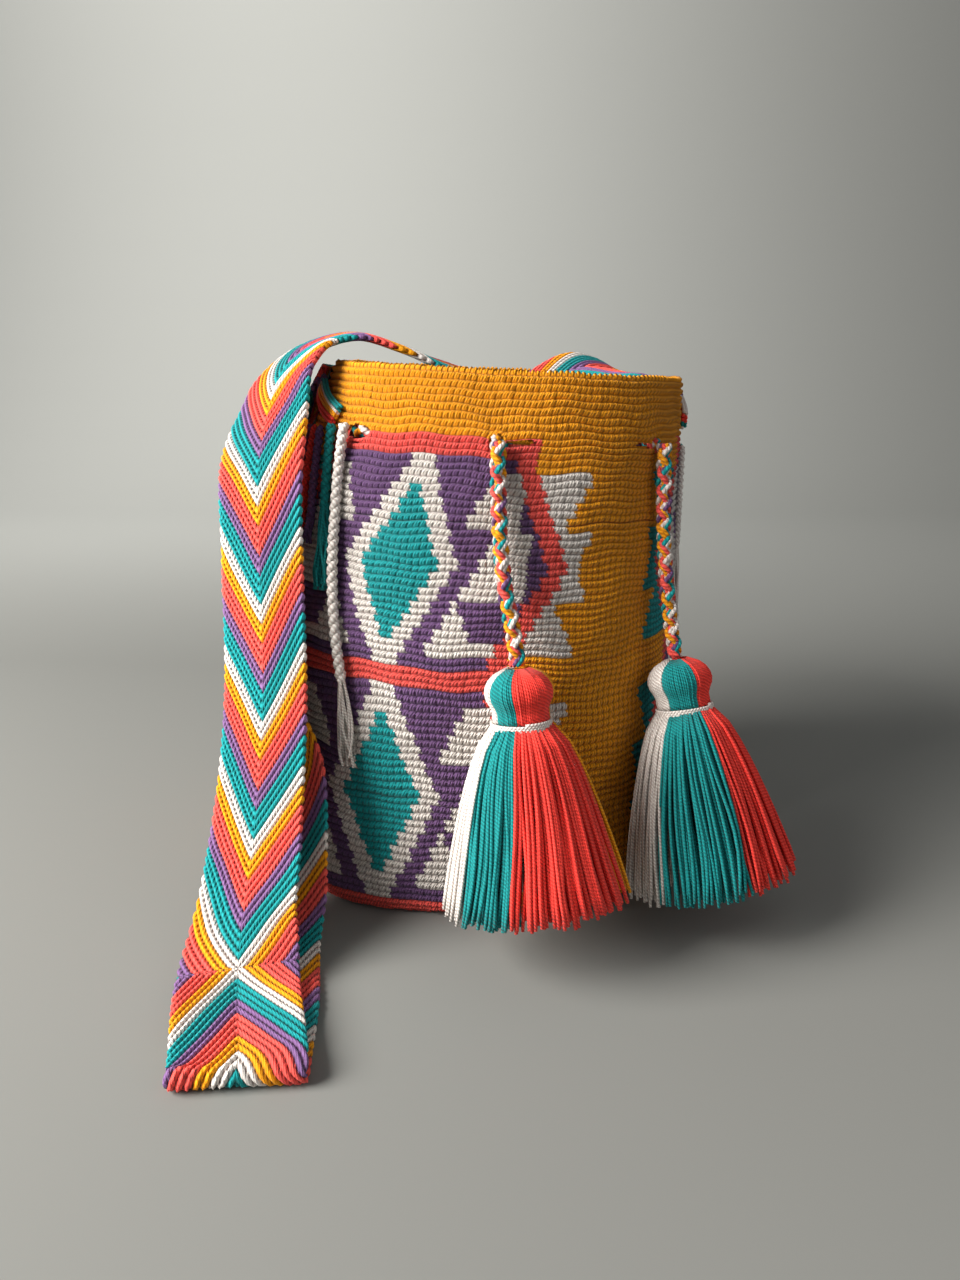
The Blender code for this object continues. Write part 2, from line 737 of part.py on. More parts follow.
def strap_stations():
    """Stations along the strap, closer together where it bends."""
    dense = smooth_path(strap_route())
    points = [Vector(row[:3]) for row in dense]
    stations = []
    length = 0.0
    since = 0.0
    turned = 0.0
    last = len(points) - 1
    for index, point in enumerate(points):
        before = points[max(index - 1, 0)]
        after = points[min(index + 1, last)]
        direction = (after - before).normalized()
        if index:
            piece = (point - before).length
            length += piece
            since += piece
            turned += direction.angle(heading)
        heading = direction
        if index in (0, last) or since >= STRAP_STEP or turned > math.radians(24.0):
            if index == last and since < 0.3 * STRAP_STEP:
                stations.pop()
            across = Vector(dense[index][3:6])
            across = (across - direction * across.dot(direction)).normalized()
            face = across.cross(direction).normalized()
            stations.append((point, across, face, dense[index][6], length))
            since = 0.0
            turned = 0.0
    return stations


def strap_colour(phase):
    """Colours of the woven bands, mirrored about the middle of the strap."""
    order = ("white", "teal", "purple", "coral", "orange")
    return order[int(abs(phase) / STRAP_BAND) % len(order)]


def build_strap():
    stations = strap_stations()
    middle = min(stations, key=lambda row: (row[0] - Vector(
        (-BELLY_HALF_WIDTH - 0.006, -BASE_HALF_DEPTH - 0.060, 0.0))).length)[4]
    columns = [mix(-0.5, 0.5, index / STRAP_COLUMNS) for index in range(STRAP_COLUMNS + 1)]
    rings = []
    for point, across, face, width, length in stations:
        upper = []
        lower = []
        for share in columns:
            phase = (length - middle) - CHEVRON_SLOPE * abs(share) * width * math.copysign(1.0, length - middle)
            ridge = STRAP_RIDGE * math.cos(math.pi * phase / STRAP_STEP)
            half = 0.5 * STRAP_THICKNESS
            if abs(share) > 0.49:
                half *= 0.7
                ridge = 0.0
            middle_line = point + across * share * width
            upper.append(middle_line + face * (half + ridge))
            lower.append(middle_line - face * (half + ridge))
        rings.append(upper + lower[::-1])

    def colour_of(row, index):
        count = 2 * len(columns)
        column = index if index < len(columns) else count - 1 - index
        column = min(column, STRAP_COLUMNS - 1)
        share = 0.5 * (columns[column] + columns[column + 1])
        width = stations[row][3]
        along = 0.5 * (stations[row][4] + stations[row + 1][4]) - middle
        return strap_colour(abs(along) - CHEVRON_SLOPE * abs(share) * width + 5.0 * STRAP_BAND)

    return loft("strap", rings, YARN_ORDER, colour_of)


# Yarns at the strap's ends.

def wall_line(start_turn, start_z, end_turn, end_z, out, pieces):
    points = []
    for number in range(pieces + 1):
        share = number / pieces
        points.append(beside(mix(start_turn, end_turn, share), mix(start_z, end_z, share), out))
    return points


def build_fringe():
    """Cords left hanging from the strap's ends, lying against the wall."""
    stand = RIDGE + 0.25 * GAP + 0.5 * FRINGE_CORD
    top_left = RIM_BOTTOM - 0.003
    left = (("white", "white", -53.0, -36.0, 0.120),
            ("teal", "teal", -56.5, -47.5, 0.060),
            ("purple_front", "purple", -60.0, -52.5, 0.048),
            ("coral_front", "coral", -63.5, -56.0, 0.052),
            ("purple_back", "purple", -67.0, -61.0, 0.042),
            ("coral_back", "coral", -70.5, -65.5, 0.036))
    for label, colour, start, end, length in left:
        cord("left_fringe_" + label, wall_line(start, top_left, end, top_left - length, stand, 5),
             0.5 * FRINGE_CORD, colour, sides=6)
    top_right = RIM_BOTTOM - 0.008
    right = (("white", "white", 88.0, 86.0, 0.115),
             ("teal", "teal", 93.0, 91.5, 0.070),
             ("coral", "coral", 98.0, 97.0, 0.080),
             ("purple", "purple", 103.0, 102.5, 0.100))
    for label, colour, start, end, length in right:
        cord("right_fringe_" + label, wall_line(start, top_right, end, top_right - length, stand, 5),
             0.5 * FRINGE_CORD, colour, sides=6)


def lashing(name, points, colour):
    """A flat bundle of yarns laid along the rim, with lengthwise ridges."""
    rings = []
    strands = 4
    last = len(points) - 1
    for index, (point, out) in enumerate(points):
        direction = (points[min(index + 1, last)][0] - points[max(index - 1, 0)][0]).normalized()
        across = out.cross(direction).normalized()
        face = direction.cross(across)
        upper = []
        lower = []
        for column in range(2 * strands + 1):
            share = column / (2 * strands) - 0.5
            swell = 0.5 if column % 2 else 0.28
            middle_line = point + across * share * LASHING_WIDTH
            upper.append(middle_line + face * LASHING_THICKNESS * swell)
            lower.append(middle_line - face * LASHING_THICKNESS * swell)
        rings.append(upper + lower[::-1])
    return loft(name, rings, (colour,))


def build_lashings():
    stand = RIDGE + 2.0 * GAP + 0.5 * LASHING_THICKNESS
    edge = math.degrees((0.5 * STRAP_END_WIDTH + 6.0 * GAP) / MOUTH_HALF_DEPTH)
    pieces = 5
    for name, colour, start, end, high, low in (
            ("left_lashing", "orange", LEFT_ATTACH_TURN + edge, -53.0, 0.013, RIM_BAND - 0.004),
            ("right_lashing", "coral", RIGHT_ATTACH_TURN - edge, RIGHT_ATTACH_TURN - 28.0, 0.012,
             RIM_BAND - 0.008)):
        points = []
        for number in range(pieces + 1):
            share = number / pieces
            degrees = mix(start, end, share)
            z = BAG_HEIGHT - mix(high, low, share)
            point = beside(degrees, z, stand)
            points.append((point, (point - wall_point(degrees, z)).normalized()))
        lashing(name, points, colour)


clear_scene()
PARTS = bpy.data.collections.new("crocheted_bag")
CUTTERS = bpy.data.collections.new("cutters")
bpy.context.scene.collection.children.link(PARTS)
bpy.context.scene.collection.children.link(CUTTERS)

build_bag()
build_strap()
cord("drawstring", drawstring_points(), 0.5 * CORD, "teal", sides=HIDDEN_CORD_SIDES)
build_tassel("left", LEFT_EXIT_TURN, LEFT_HEAD_TURN, LEFT_HEAD_DROP, LEFT_FOOT_TURN, LEFT_FOOT_OUT,
             LEFT_SKIRT_HALF,
             (("white", "white", -168.0, -63.0), ("teal", "teal", -63.0, -18.0),
              ("coral", "coral", -18.0, 57.0), ("orange", "orange", 57.0, 192.0)))
build_tassel("right", RIGHT_EXIT_TURN, RIGHT_HEAD_TURN, RIGHT_HEAD_DROP, RIGHT_FOOT_TURN, RIGHT_FOOT_OUT,
             RIGHT_SKIRT_HALF,
             (("white", "white", -218.0, -81.0), ("teal", "teal", -81.0, -24.0),
              ("coral", "coral", -24.0, 142.0)))
build_lashings()
build_fringe()
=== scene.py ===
"""The looks of the crocheted bucket bag: crochet stitches, woven strap, braids, tassels and fringe.

Metres, +Z up, in the row frame. The front of the bag looks to -Y.
Angles round the bag start at the front and grow to the right.
"""
import math

import bmesh
import bpy
import numpy as np
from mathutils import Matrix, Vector


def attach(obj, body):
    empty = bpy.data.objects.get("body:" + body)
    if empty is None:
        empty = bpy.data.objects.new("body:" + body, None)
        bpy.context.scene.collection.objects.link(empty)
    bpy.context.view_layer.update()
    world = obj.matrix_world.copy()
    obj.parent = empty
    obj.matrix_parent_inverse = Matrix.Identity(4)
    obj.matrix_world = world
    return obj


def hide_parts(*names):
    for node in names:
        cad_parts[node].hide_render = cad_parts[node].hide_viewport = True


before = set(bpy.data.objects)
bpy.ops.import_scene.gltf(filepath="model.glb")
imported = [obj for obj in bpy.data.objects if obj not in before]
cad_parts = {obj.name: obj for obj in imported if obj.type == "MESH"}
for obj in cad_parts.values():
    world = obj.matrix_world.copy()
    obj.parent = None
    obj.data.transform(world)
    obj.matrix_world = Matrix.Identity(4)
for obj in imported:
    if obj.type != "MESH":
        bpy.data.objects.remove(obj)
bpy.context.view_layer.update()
chance = np.random.default_rng(7)

# The bag's shape.
BASE_HALF_WIDTH = 0.1185
BASE_HALF_DEPTH = 0.1190
BELLY_HALF_WIDTH = 0.1230
BELLY_HALF_DEPTH = 0.1215
MOUTH_HALF_WIDTH = 0.1030
MOUTH_HALF_DEPTH = 0.0950
BELLY_HEIGHT = 0.135
MOUTH_SHIFT_RIGHT = 0.021
MOUTH_SHIFT_BACK = 0.003
BASE_SQUARENESS = 3.0
BELLY_SQUARENESS = 2.2
MOUTH_SQUARENESS = 2.3
ROUNDS_SLOPE = 0.16
CORNER_SWELL = 0.010
CORNER_TURN = 19.0
WALL = 0.0035
FLOOR = 0.0045
EDGE_TURN = 0.010
LOWER_BAND = 0.129
MIDDLE_LINE = 0.011
UPPER_BAND = 0.110
TOP_LINE = 0.010
RIM_BAND = 0.033
BAG_HEIGHT = EDGE_TURN + LOWER_BAND + MIDDLE_LINE + UPPER_BAND + TOP_LINE + RIM_BAND
RIM_BOTTOM = BAG_HEIGHT - RIM_BAND
RIDGE = 0.0006
GROOVE = 0.0005
GAP = 0.0004

# Stitches and the motif, which repeats three times round the bag.
STITCHES = 204
REPEAT_STITCHES = 68
MOTIF_TURN = -22.0
MOTIF_LEAN = 0.10
BAND_COURSES = 15
MIDDLE_COURSE = 7
DIAMOND_HALF = 6.5
OUTLINE_HALF = 9.5
PANEL_HALF = 25.0
PANEL_LINE = 3.0
STRIPE = 3.0

# Eyelets and the drawstring.
EYELET_HEIGHT = RIM_BOTTOM - 0.002
EYELET_TURNS = (-45.0, -90.0, -135.0, 180.0, 135.0, 90.0)
EYELET_HALF_LENGTH = 0.0105
EYELET_HALF_HEIGHT = 0.0045
EXIT_HALF_LENGTH = 0.0048
EXIT_HALF_HEIGHT = 0.0046
SLIT_LENGTH = 0.019
SLIT_HEIGHT = 0.0026
CORD = 0.0084
LEFT_EXIT_TURN = -1.0
RIGHT_EXIT_TURN = 50.0
CORD_STAND = 0.0012
EXIT_SPREAD = 0.0024

# The tassels.
HEAD_LENGTH = 0.027
HEAD_HALF_WIDTH = 0.0178
NECK_HALF_WIDTH = 0.0150
SKIRT_LENGTH = 0.0985
SKIRT_FLARE = 0.64
BINDING_HEIGHT = 0.0042
TASSEL_CAP = 0.0035

# The strap.
STRAP_WIDTH = 0.061
STRAP_THICKNESS = 0.0038
STRAP_END_WIDTH = 0.042
STRAP_RIDGE = 0.0005
CHEVRON_SLOPE = 1.43
ATTACH_DROP = 0.0285
RIGHT_ATTACH_TURN = 112.0
LEFT_ATTACH_TURN = -90.0
ARCH_RISE = 0.0145
FOLD_RADIUS = 0.0032
FOLD_REACH = 0.1285
STRAP_CORD = 0.0053

# Yarn colours, as light.
YARNS = {
    "orange": (0.96, 0.370, 0.004),
    "coral": (0.96, 0.108, 0.085),
    "purple": (0.160, 0.078, 0.195),
    "teal": (0.007, 0.340, 0.345),
    "white": (0.81, 0.745, 0.68),
}
# The strap's purple is paler, and the yarn of the tassels and the fringe is of deeper colour.
OTHER_SHADES = {
    ("purple", "woven"): (0.245, 0.125, 0.300),
    ("coral", "thread"): (0.98, 0.064, 0.045),
    ("teal", "thread"): (0.006, 0.262, 0.258),
    ("white", "thread"): (0.73, 0.69, 0.63),
}
YARN_ORDER = ("orange", "coral", "purple", "teal", "white")
# Painted shade: the darkened colour in a yarn's hollows is tinted redder than its crests.
PAINTED_SHADE_TINT = (1.0, 0.82, 0.80)
# Spreads things evenly with no repeat.
GOLDEN = 0.618
# How far the twist of one tube can start from another's.
TWIST_SHIFT = 0.011


def unit(vectors):
    return vectors / np.maximum(np.linalg.norm(vectors, axis=-1, keepdims=True), 1e-12)


def mix(low, high, share):
    return low + (high - low) * share


def run_along(line):
    """Distance along a line at each of its points."""
    return np.concatenate([[0.0], np.cumsum(np.linalg.norm(np.diff(line, axis=0), axis=1))])


def read_off(where, spots, line):
    """Points or directions of a line at other places along it."""
    return np.stack([np.interp(where, spots, line[:, axis]) for axis in range(3)], axis=-1)


def around(line, side, other, radius, angle):
    """A path that winds round a line."""
    ring = side * np.cos(angle)[:, None] + other * np.sin(angle)[:, None]
    return line + ring * np.asarray(radius)[..., None]


def uv_grid(u, v):
    """Texture places for the corners of a grid."""
    return np.stack(np.meshgrid(u, v), axis=-1)


# The bag's outside, for arrays of angles and heights.

def section(z):
    z = np.asarray(z, float)
    low = np.sin(0.5 * np.pi * np.clip(z, 0.0, BELLY_HEIGHT) / BELLY_HEIGHT)
    over = np.clip(z - BELLY_HEIGHT, 0.0, None) / (BAG_HEIGHT - BELLY_HEIGHT)
    high = 1.0 - np.cos(0.5 * np.pi * over)
    below = z < BELLY_HEIGHT

    def pick(base, belly, mouth):
        return np.where(below, base + (belly - base) * low, belly + (mouth - belly) * high)

    return (np.where(below, 0.0, MOUTH_SHIFT_RIGHT * high), np.where(below, 0.0, MOUTH_SHIFT_BACK * high),
            pick(BASE_HALF_WIDTH, BELLY_HALF_WIDTH, MOUTH_HALF_WIDTH),
            pick(BASE_HALF_DEPTH, BELLY_HALF_DEPTH, MOUTH_HALF_DEPTH),
            pick(BASE_SQUARENESS, BELLY_SQUARENESS, MOUTH_SQUARENESS))


def wall_point(degrees, z, out=0.0):
    degrees, z, out = np.broadcast_arrays(np.asarray(degrees, float), np.asarray(z, float),
                                          np.asarray(out, float))
    turn = np.radians(degrees)
    centre_x, centre_y, half_width, half_depth, power = section(z)
    side = np.abs(np.sin(turn)) / half_width
    front = np.abs(np.cos(turn)) / half_depth
    swell = 1.0 + CORNER_SWELL * np.cos(4.0 * (turn - math.radians(CORNER_TURN)))
    radius = swell * (side ** power + front ** power) ** (-1.0 / power) + out
    x = centre_x + radius * np.sin(turn)
    y = centre_y - radius * np.cos(turn)
    return np.stack([x, y, z * (1.0 - ROUNDS_SLOPE * x)], axis=-1)


def outward(degrees, z):
    along = wall_point(degrees + 0.5, z) - wall_point(degrees - 0.5, z)
    return unit(np.stack([along[..., 1], -along[..., 0], np.zeros_like(along[..., 0])], axis=-1))


def beside(degrees, z, out):
    along = wall_point(degrees + 0.5, z) - wall_point(degrees - 0.5, z)
    up = wall_point(degrees, np.asarray(z) + 0.001) - wall_point(degrees, np.asarray(z) - 0.001)
    return wall_point(degrees, z) + unit(np.cross(along, up)) * np.asarray(out)[..., None]


def along_wall(degrees, z):
    side = outward(degrees, z)
    return np.stack([-side[..., 1], side[..., 0], np.zeros_like(side[..., 0])], axis=-1)


# Mesh helpers.

def grid(name, points, materials, colours=None, wrap=True, uv=None, skip=None, flip=False):
    """A mesh from rows of points. wrap joins the last column to the first."""
    rows, columns = points.shape[:2]
    across = columns if wrap else columns - 1
    row, column = np.meshgrid(np.arange(rows - 1), np.arange(across), indexing="ij")
    corner_row = np.stack([row, row, row + 1, row + 1], axis=-1).reshape(-1, 4)
    corner_column = np.stack([column, column + 1, column + 1, column], axis=-1).reshape(-1, 4)
    keep = slice(None) if skip is None else ~skip.reshape(-1)
    order = -1 if flip else 1
    corner_row = corner_row[keep, ::order]
    corner_column = corner_column[keep, ::order]
    quads = corner_row * columns + corner_column % columns
    index = None if colours is None else colours.reshape(-1)[keep]
    coordinates = None if uv is None else uv[corner_row, corner_column].reshape(-1, 2)
    return mesh_object(name, points.reshape(-1, 3), quads, materials, index, coordinates)


def mesh_object(name, points, quads, materials, index=None, coordinates=None):
    used = np.unique(quads)
    number = np.full(len(points), -1)
    number[used] = np.arange(len(used))
    points = points[used]
    quads = number[quads]
    mesh = bpy.data.meshes.new(name)
    mesh.vertices.add(len(points))
    mesh.vertices.foreach_set("co", points.astype(np.float32).ravel())
    mesh.loops.add(quads.size)
    mesh.loops.foreach_set("vertex_index", quads.astype(np.int32).ravel())
    mesh.polygons.add(len(quads))
    mesh.polygons.foreach_set("loop_start", np.arange(0, quads.size, 4, dtype=np.int32))
    mesh.polygons.foreach_set("use_smooth", np.ones(len(quads), bool))
    for material in materials:
        mesh.materials.append(material)
    if index is not None:
        mesh.polygons.foreach_set("material_index", index.astype(np.int32))
    if coordinates is not None:
        layer = mesh.uv_layers.new(name="UVMap")
        layer.data.foreach_set("uv", coordinates.astype(np.float32).ravel())
    mesh.update(calc_edges=True)
    item = bpy.data.objects.new(name, mesh)
    bpy.context.scene.collection.objects.link(item)
    return item


def weld(item):
    """Joins corners that lie on each other, so that the piece is closed."""
    shape = bmesh.new()
    shape.from_mesh(item.data)
    bmesh.ops.remove_doubles(shape, verts=shape.verts, dist=1e-6)
    shape.to_mesh(item.data)
    shape.free()
    return item


def tubes(name, paths, radii, weave, colours, sides=5, up=(0.0, 0.0, 1.0)):
    """Many tubes in one mesh. paths is strands x points x 3, radii strands x points."""
    count, length = paths.shape[:2]
    colours = np.asarray(colours)
    direction = unit(np.gradient(paths, axis=1))
    side = unit(np.cross(direction, np.broadcast_to(np.asarray(up, float), direction.shape)))
    other = np.cross(direction, side)
    angle = 2.0 * np.pi * np.arange(sides) / sides
    ring = (side[:, :, None, :] * np.cos(angle)[None, None, :, None]
            + other[:, :, None, :] * np.sin(angle)[None, None, :, None])
    points = paths[:, :, None, :] + ring * radii[:, :, None, None]
    base = (np.arange(count)[:, None, None] * length + np.arange(length - 1)[None, :, None]) * sides
    here = np.arange(sides)[None, None, :]
    after = (here + 1) % sides
    quads = np.stack([base + here, base + sides + here, base + sides + after, base + after], axis=-1)
    steps = np.concatenate([np.zeros((count, 1)), np.linalg.norm(np.diff(paths, axis=1), axis=-1)], axis=1)
    # Each tube's twist starts elsewhere, so that no bands line up across a hank.
    run = np.cumsum(steps, axis=1) + TWIST_SHIFT * (GOLDEN * np.arange(count) % 1.0)[:, None]
    shape = (count, length - 1, sides)
    u = np.broadcast_to(here / sides, shape)
    u_next = u + 1.0 / sides
    v = np.broadcast_to(1000.0 * run[:, :-1, None], shape)
    v_next = np.broadcast_to(1000.0 * run[:, 1:, None], shape)
    uv = np.stack([u, v, u, v_next, u_next, v_next, u_next, v], axis=-1).reshape(-1, 2)
    index = np.broadcast_to(colours[:, None, None], shape).reshape(-1)
    # Flat ends.
    caps = []
    for end, order in ((0, 1), (length - 1, -1)):
        start = (np.arange(count) * length + end) * sides
        for first in range(0, sides - 3, 2):
            corners = np.array([0, first + 1, first + 2, first + 3])
            caps.append(start[:, None] + corners[None, ::order])
    quads = np.concatenate([quads.reshape(-1, 4)] + caps)
    index = np.concatenate([index] + [colours] * len(caps))
    uv = np.concatenate([uv, np.zeros((4 * count * len(caps), 2))])
    return mesh_object(name, points.reshape(-1, 3), quads, yarns(weave), index, uv)


def resample(points, count):
    """Evenly spaced points along a smooth line through the given ones."""
    points = np.asarray(points, float)
    run = run_along(points)
    line = read_off(np.linspace(0.0, run[-1], count), run, points)
    for _ in range(2):
        line[1:-1] = 0.25 * line[:-2] + 0.5 * line[1:-1] + 0.25 * line[2:]
    return line


def line_frames(line):
    """Two directions square to a line that don't twist along it."""
    direction = unit(np.gradient(line, axis=0))
    side = np.zeros_like(direction)
    first = np.cross(direction[0], (0.0, 0.0, 1.0))
    if np.linalg.norm(first) < 0.1:
        first = np.cross(direction[0], (1.0, 0.0, 0.0))
    side[0] = unit(first)
    for spot in range(1, len(line)):
        before = side[spot - 1]
        side[spot] = unit(before - direction[spot] * np.dot(before, direction[spot]))
    return side, np.cross(direction, side)


# Materials.

class Value:
    """The result of a node, which formulas can add, multiply and so on."""

    def __init__(self, tree, socket):
        self.tree = tree
        self.socket = socket

    def __add__(self, other):
        return self.tree.math("ADD", self, other)

    def __sub__(self, other):
        return self.tree.math("SUBTRACT", self, other)

    def __rsub__(self, other):
        return self.tree.math("SUBTRACT", other, self)

    def __mul__(self, other):
        return self.tree.math("MULTIPLY", self, other)

    def __pow__(self, other):
        return self.tree.math("POWER", self, other)

    def clamped(self):
        """Keeps the result between 0 and 1."""
        self.socket.node.use_clamp = True
        return self

    def hump(self, centre, half):
        """1 at the centre, falling to 0 at half away."""
        away = self.tree.math("DIVIDE", self - centre, half)
        return (1.0 - away * away).clamped()

    def wave(self):
        """A smooth wave from 0 to 1, one for each unit."""
        return self.tree.math("SINE", self * (2.0 * math.pi)) * 0.5 + 0.5


class Tree:
    """The nodes of a material or a world, with short ways to add to them."""

    def __init__(self, node_tree):
        self.nodes = node_tree.nodes
        self.links = node_tree.links

    def put(self, socket, value):
        if isinstance(value, Value):
            self.links.new(value.socket, socket)
        else:
            socket.default_value = value

    def math(self, operation, first, second=0.0):
        node = self.nodes.new("ShaderNodeMath")
        node.operation = operation
        self.put(node.inputs[0], first)
        self.put(node.inputs[1], second)
        return Value(self, node.outputs[0])

    def noise(self, scale, detail):
        node = self.nodes.new("ShaderNodeTexNoise")
        node.inputs["Scale"].default_value = scale
        node.inputs["Detail"].default_value = detail
        coordinate = self.nodes.new("ShaderNodeTexCoord")
        self.links.new(coordinate.outputs["Object"], node.inputs["Vector"])
        return Value(self, node.outputs["Fac"])

    def uv(self):
        node = self.nodes.new("ShaderNodeUVMap")
        node.uv_map = "UVMap"
        split = self.nodes.new("ShaderNodeSeparateXYZ")
        self.links.new(node.outputs["UV"], split.inputs[0])
        return Value(self, split.outputs[0]), Value(self, split.outputs[1])

    def mix(self, share, low, high, blend="MIX"):
        node = self.nodes.new("ShaderNodeMix")
        node.data_type = "RGBA"
        node.blend_type = blend
        self.put(node.inputs["Factor"], share)
        self.put(node.inputs["A"], low)
        self.put(node.inputs["B"], high)
        return Value(self, node.outputs["Result"])


# Each weave gives the height of the yarn's surface and how far it lies open to the light, which yarn()
# paints into the colour as shade in the hollows.

def crochet_height(tree):
    """Rows of stitches: a deep line between rows, two soft strokes a stitch and fine slanted plies."""
    u, v = tree.uv()
    wobble = tree.noise(260.0, 1.0) * 0.34 - 0.17
    across = tree.math("FRACT", u) - 0.5
    up = tree.math("FRACT", v)
    row = up.hump(0.53, 0.56)
    slanted = tree.math("FRACT", u + (up * -0.30 + wobble * 0.3)) - 0.5
    stroke = tree.math("ABSOLUTE", slanted).hump(up * 0.05 + 0.175, 0.235) ** 0.8
    hatch = ((u + wobble) * 3.0 + v * -2.0).wave()
    bar = up.hump(across * 0.30 + 0.80, 0.15)
    body = tree.math("MAXIMUM", row * (stroke * 0.85 + 0.08), bar * 0.70)
    seen = tree.math("MAXIMUM", stroke, bar * 0.6)
    # Painted shade: the colour is darker in the line between rows, between strokes and between the slanted
    # plies.
    light = ((row * 1.2).clamped() ** 0.8 * (seen * 0.82 + 0.22)).clamped()
    return hatch * row * 0.20 + body, (light * (hatch * 0.44 + 0.64)).clamped()


def woven_height(tree):
    """A round cord on every unit of v, with slanted plies and a row of small pits on each side of it."""
    u, v = tree.uv()
    along = u * 0.36 + (tree.noise(200.0, 1.0) * 0.5 - 0.25)
    across = tree.math("FRACT", v) - 0.5
    cord = across.hump(0.0, 0.56)
    side = (tree.math("ABSOLUTE", across) * 2.0) ** 3.0
    spot = (along + tree.math("ROUND", v) * 0.5).wave() ** 1.6
    pit = (side * spot).clamped()
    ply = (across * 1.1 + along).wave()
    fine = (across * 3.0 + along * 3.0).wave()
    height = cord * (ply * 0.42 + 0.58) + fine * 0.10 - pit * 0.7
    # Painted shade: the colour is darker between cords and between plies, and much darker in the pits.
    light = (height * 0.85 + 0.34) * (fine * 0.20 + 0.84)
    return height, (light - pit * 0.9).clamped()


def ply_height(tree):
    """Fine plies that wind round a strand."""
    u, v = tree.uv()
    height = (v * 0.90 + u * 8.0).wave() * 0.25 + (v * 0.40 + u * 2.0).wave() * 0.75
    # Painted shade: the colour is darker between the plies.
    return height, height * 0.8 + 0.2


def thread_height(tree):
    """The tight twist of one thin yarn."""
    u, v = tree.uv()
    ply = (v * 0.55 + u * 2.0).wave()
    # Painted shade: the colour is darker between the plies.
    return ply * 0.6, ply * 0.8 + 0.2


# For each weave its surface, the depth of its relief in metres and how dark the painted shade in its
# hollows is.
WEAVES = {
    "crochet": (crochet_height, 0.0014, 0.22),
    "woven": (woven_height, 0.0012, 0.32),
    "ply": (ply_height, 0.0007, 0.42),
    "thread": (thread_height, 0.0004, 0.55),
}
made = {}


def new_material(name):
    """A material, its nodes and the inputs of its shader."""
    material = bpy.data.materials.new(name)
    material.use_nodes = True
    return material, Tree(material.node_tree), material.node_tree.nodes["Principled BSDF"].inputs


def yarn(colour, weave):
    name = colour + "_" + weave
    if name in made:
        return made[name]
    height_of, depth, painted_shade_level = WEAVES[weave]
    made[name], tree, inputs = new_material(name)
    height, light = height_of(tree)
    fibre = tree.noise(1400.0, 2.0)
    patches = tree.noise(22.0, 2.0)
    shown = OTHER_SHADES.get((colour, weave), YARNS[colour])
    # Painted shade: hollows and grooves take a darker, redder copy of the yarn's colour (deep), mixed in by
    # how open the surface lies to the light.
    deep = [part * painted_shade_level * tint for part, tint in zip(shown, PAINTED_SHADE_TINT)]
    lit = tree.mix((light ** 0.8).clamped(), (*deep, 1.0), (*shown, 1.0))
    tone = (fibre * 0.46 + 0.80) * (tree.noise(330.0, 1.0) * 0.36 + 0.84) * (patches * 0.30 + 0.85)
    tree.put(inputs["Base Color"], tree.mix(1.0, lit, tone, blend="MULTIPLY"))
    for label, value in (("Roughness", 0.82), ("Metallic", 0.0), ("Specular IOR Level", 0.25),
                         ("Sheen Weight", 0.06), ("Sheen Roughness", 0.45)):
        inputs[label].default_value = value
    bump = tree.nodes.new("ShaderNodeBump")
    bump.inputs["Strength"].default_value = 1.0
    bump.inputs["Distance"].default_value = depth
    tree.put(bump.inputs["Height"], fibre * 0.10 + height)
    tree.put(inputs["Normal"], Value(tree, bump.outputs["Normal"]))
    return made[name]


def yarns(weave):
    return [yarn(colour, weave) for colour in YARN_ORDER]


# The crocheted bag.

def motif(column, band, course):
    """Yarn of the stitches at these columns, as numbers in YARN_ORDER."""
    orange, coral, purple, teal, white = range(5)
    column = (column + 0.5 * REPEAT_STITCHES) % REPEAT_STITCHES - 0.5 * REPEAT_STITCHES
    offset = np.abs(column)
    if band in ("rim", "edge"):
        return np.full(column.shape, orange)
    if band == "line":
        return np.where(offset < PANEL_HALF - MIDDLE_COURSE, coral, orange)
    away = abs(course - MIDDLE_COURSE)
    edge = PANEL_HALF - away
    # The lane between the diamond and the panel's border.
    last = BAND_COURSES - 1
    pyramid_base = MIDDLE_COURSE - 3
    colour = np.full(column.shape, purple)
    if 1 <= course <= pyramid_base:
        left = OUTLINE_HALF + pyramid_base - course
        colour = np.where((offset >= left) & (offset < PANEL_HALF - MIDDLE_COURSE - 0.5), white, purple)
    elif pyramid_base < course < last:
        stripe = OUTLINE_HALF + STRIPE + MIDDLE_COURSE - course
        if MIDDLE_COURSE + 3 <= course < last - 1:
            colour = np.where(offset < course + 0.5, white, purple)
        else:
            colour = np.where(offset < PANEL_HALF - 5.5, white, purple)
        colour = np.where(offset < stripe, purple, colour)
    colour = np.where(offset < OUTLINE_HALF - away, white, colour)
    if away < MIDDLE_COURSE - 1:
        colour = np.where(offset < DIAMOND_HALF - away, teal, colour)
    colour = np.where(offset >= edge - PANEL_LINE, coral, colour)
    # Stepped figures beyond the border.
    width = 2.0 + 1.5 * away if away < 3 else 2.0 * (away - 2)
    figure = (offset - edge < width) if away < MIDDLE_COURSE else np.zeros(column.shape, bool)
    beyond = np.where(figure, np.where(column > 0.0, white, teal), orange)
    return np.where(offset >= edge, beyond, colour)


# Rows of points for a round and columns for a stitch, with their heights.
SAMPLES = 4
LEGS = 4
COLUMNS = STITCHES * LEGS
ROW_PROFILE = np.array((-0.0011, 0.0000, 0.0004, 0.0003))
LEG_PROFILE = 0.0010 * np.array(((-0.20, 0.15, -0.06, 0.15), (-0.33, 0.22, -0.08, 0.20),
                                 (-0.29, 0.24, -0.07, 0.24), (-0.19, 0.12, 0.10, 0.15)))
# Rounds from the bottom up at which the outside is cut into four pieces.
CUTS = (("bag_base_rounds", 0, 19), ("bag_lower_rounds", 19, 38), ("bag_upper_rounds", 38, 58),
        ("bag_rim_rounds", 58, None))
BASE_ROUNDS = 28
HOLE_REACH = 0.012
WALL_RADIUS = 0.108


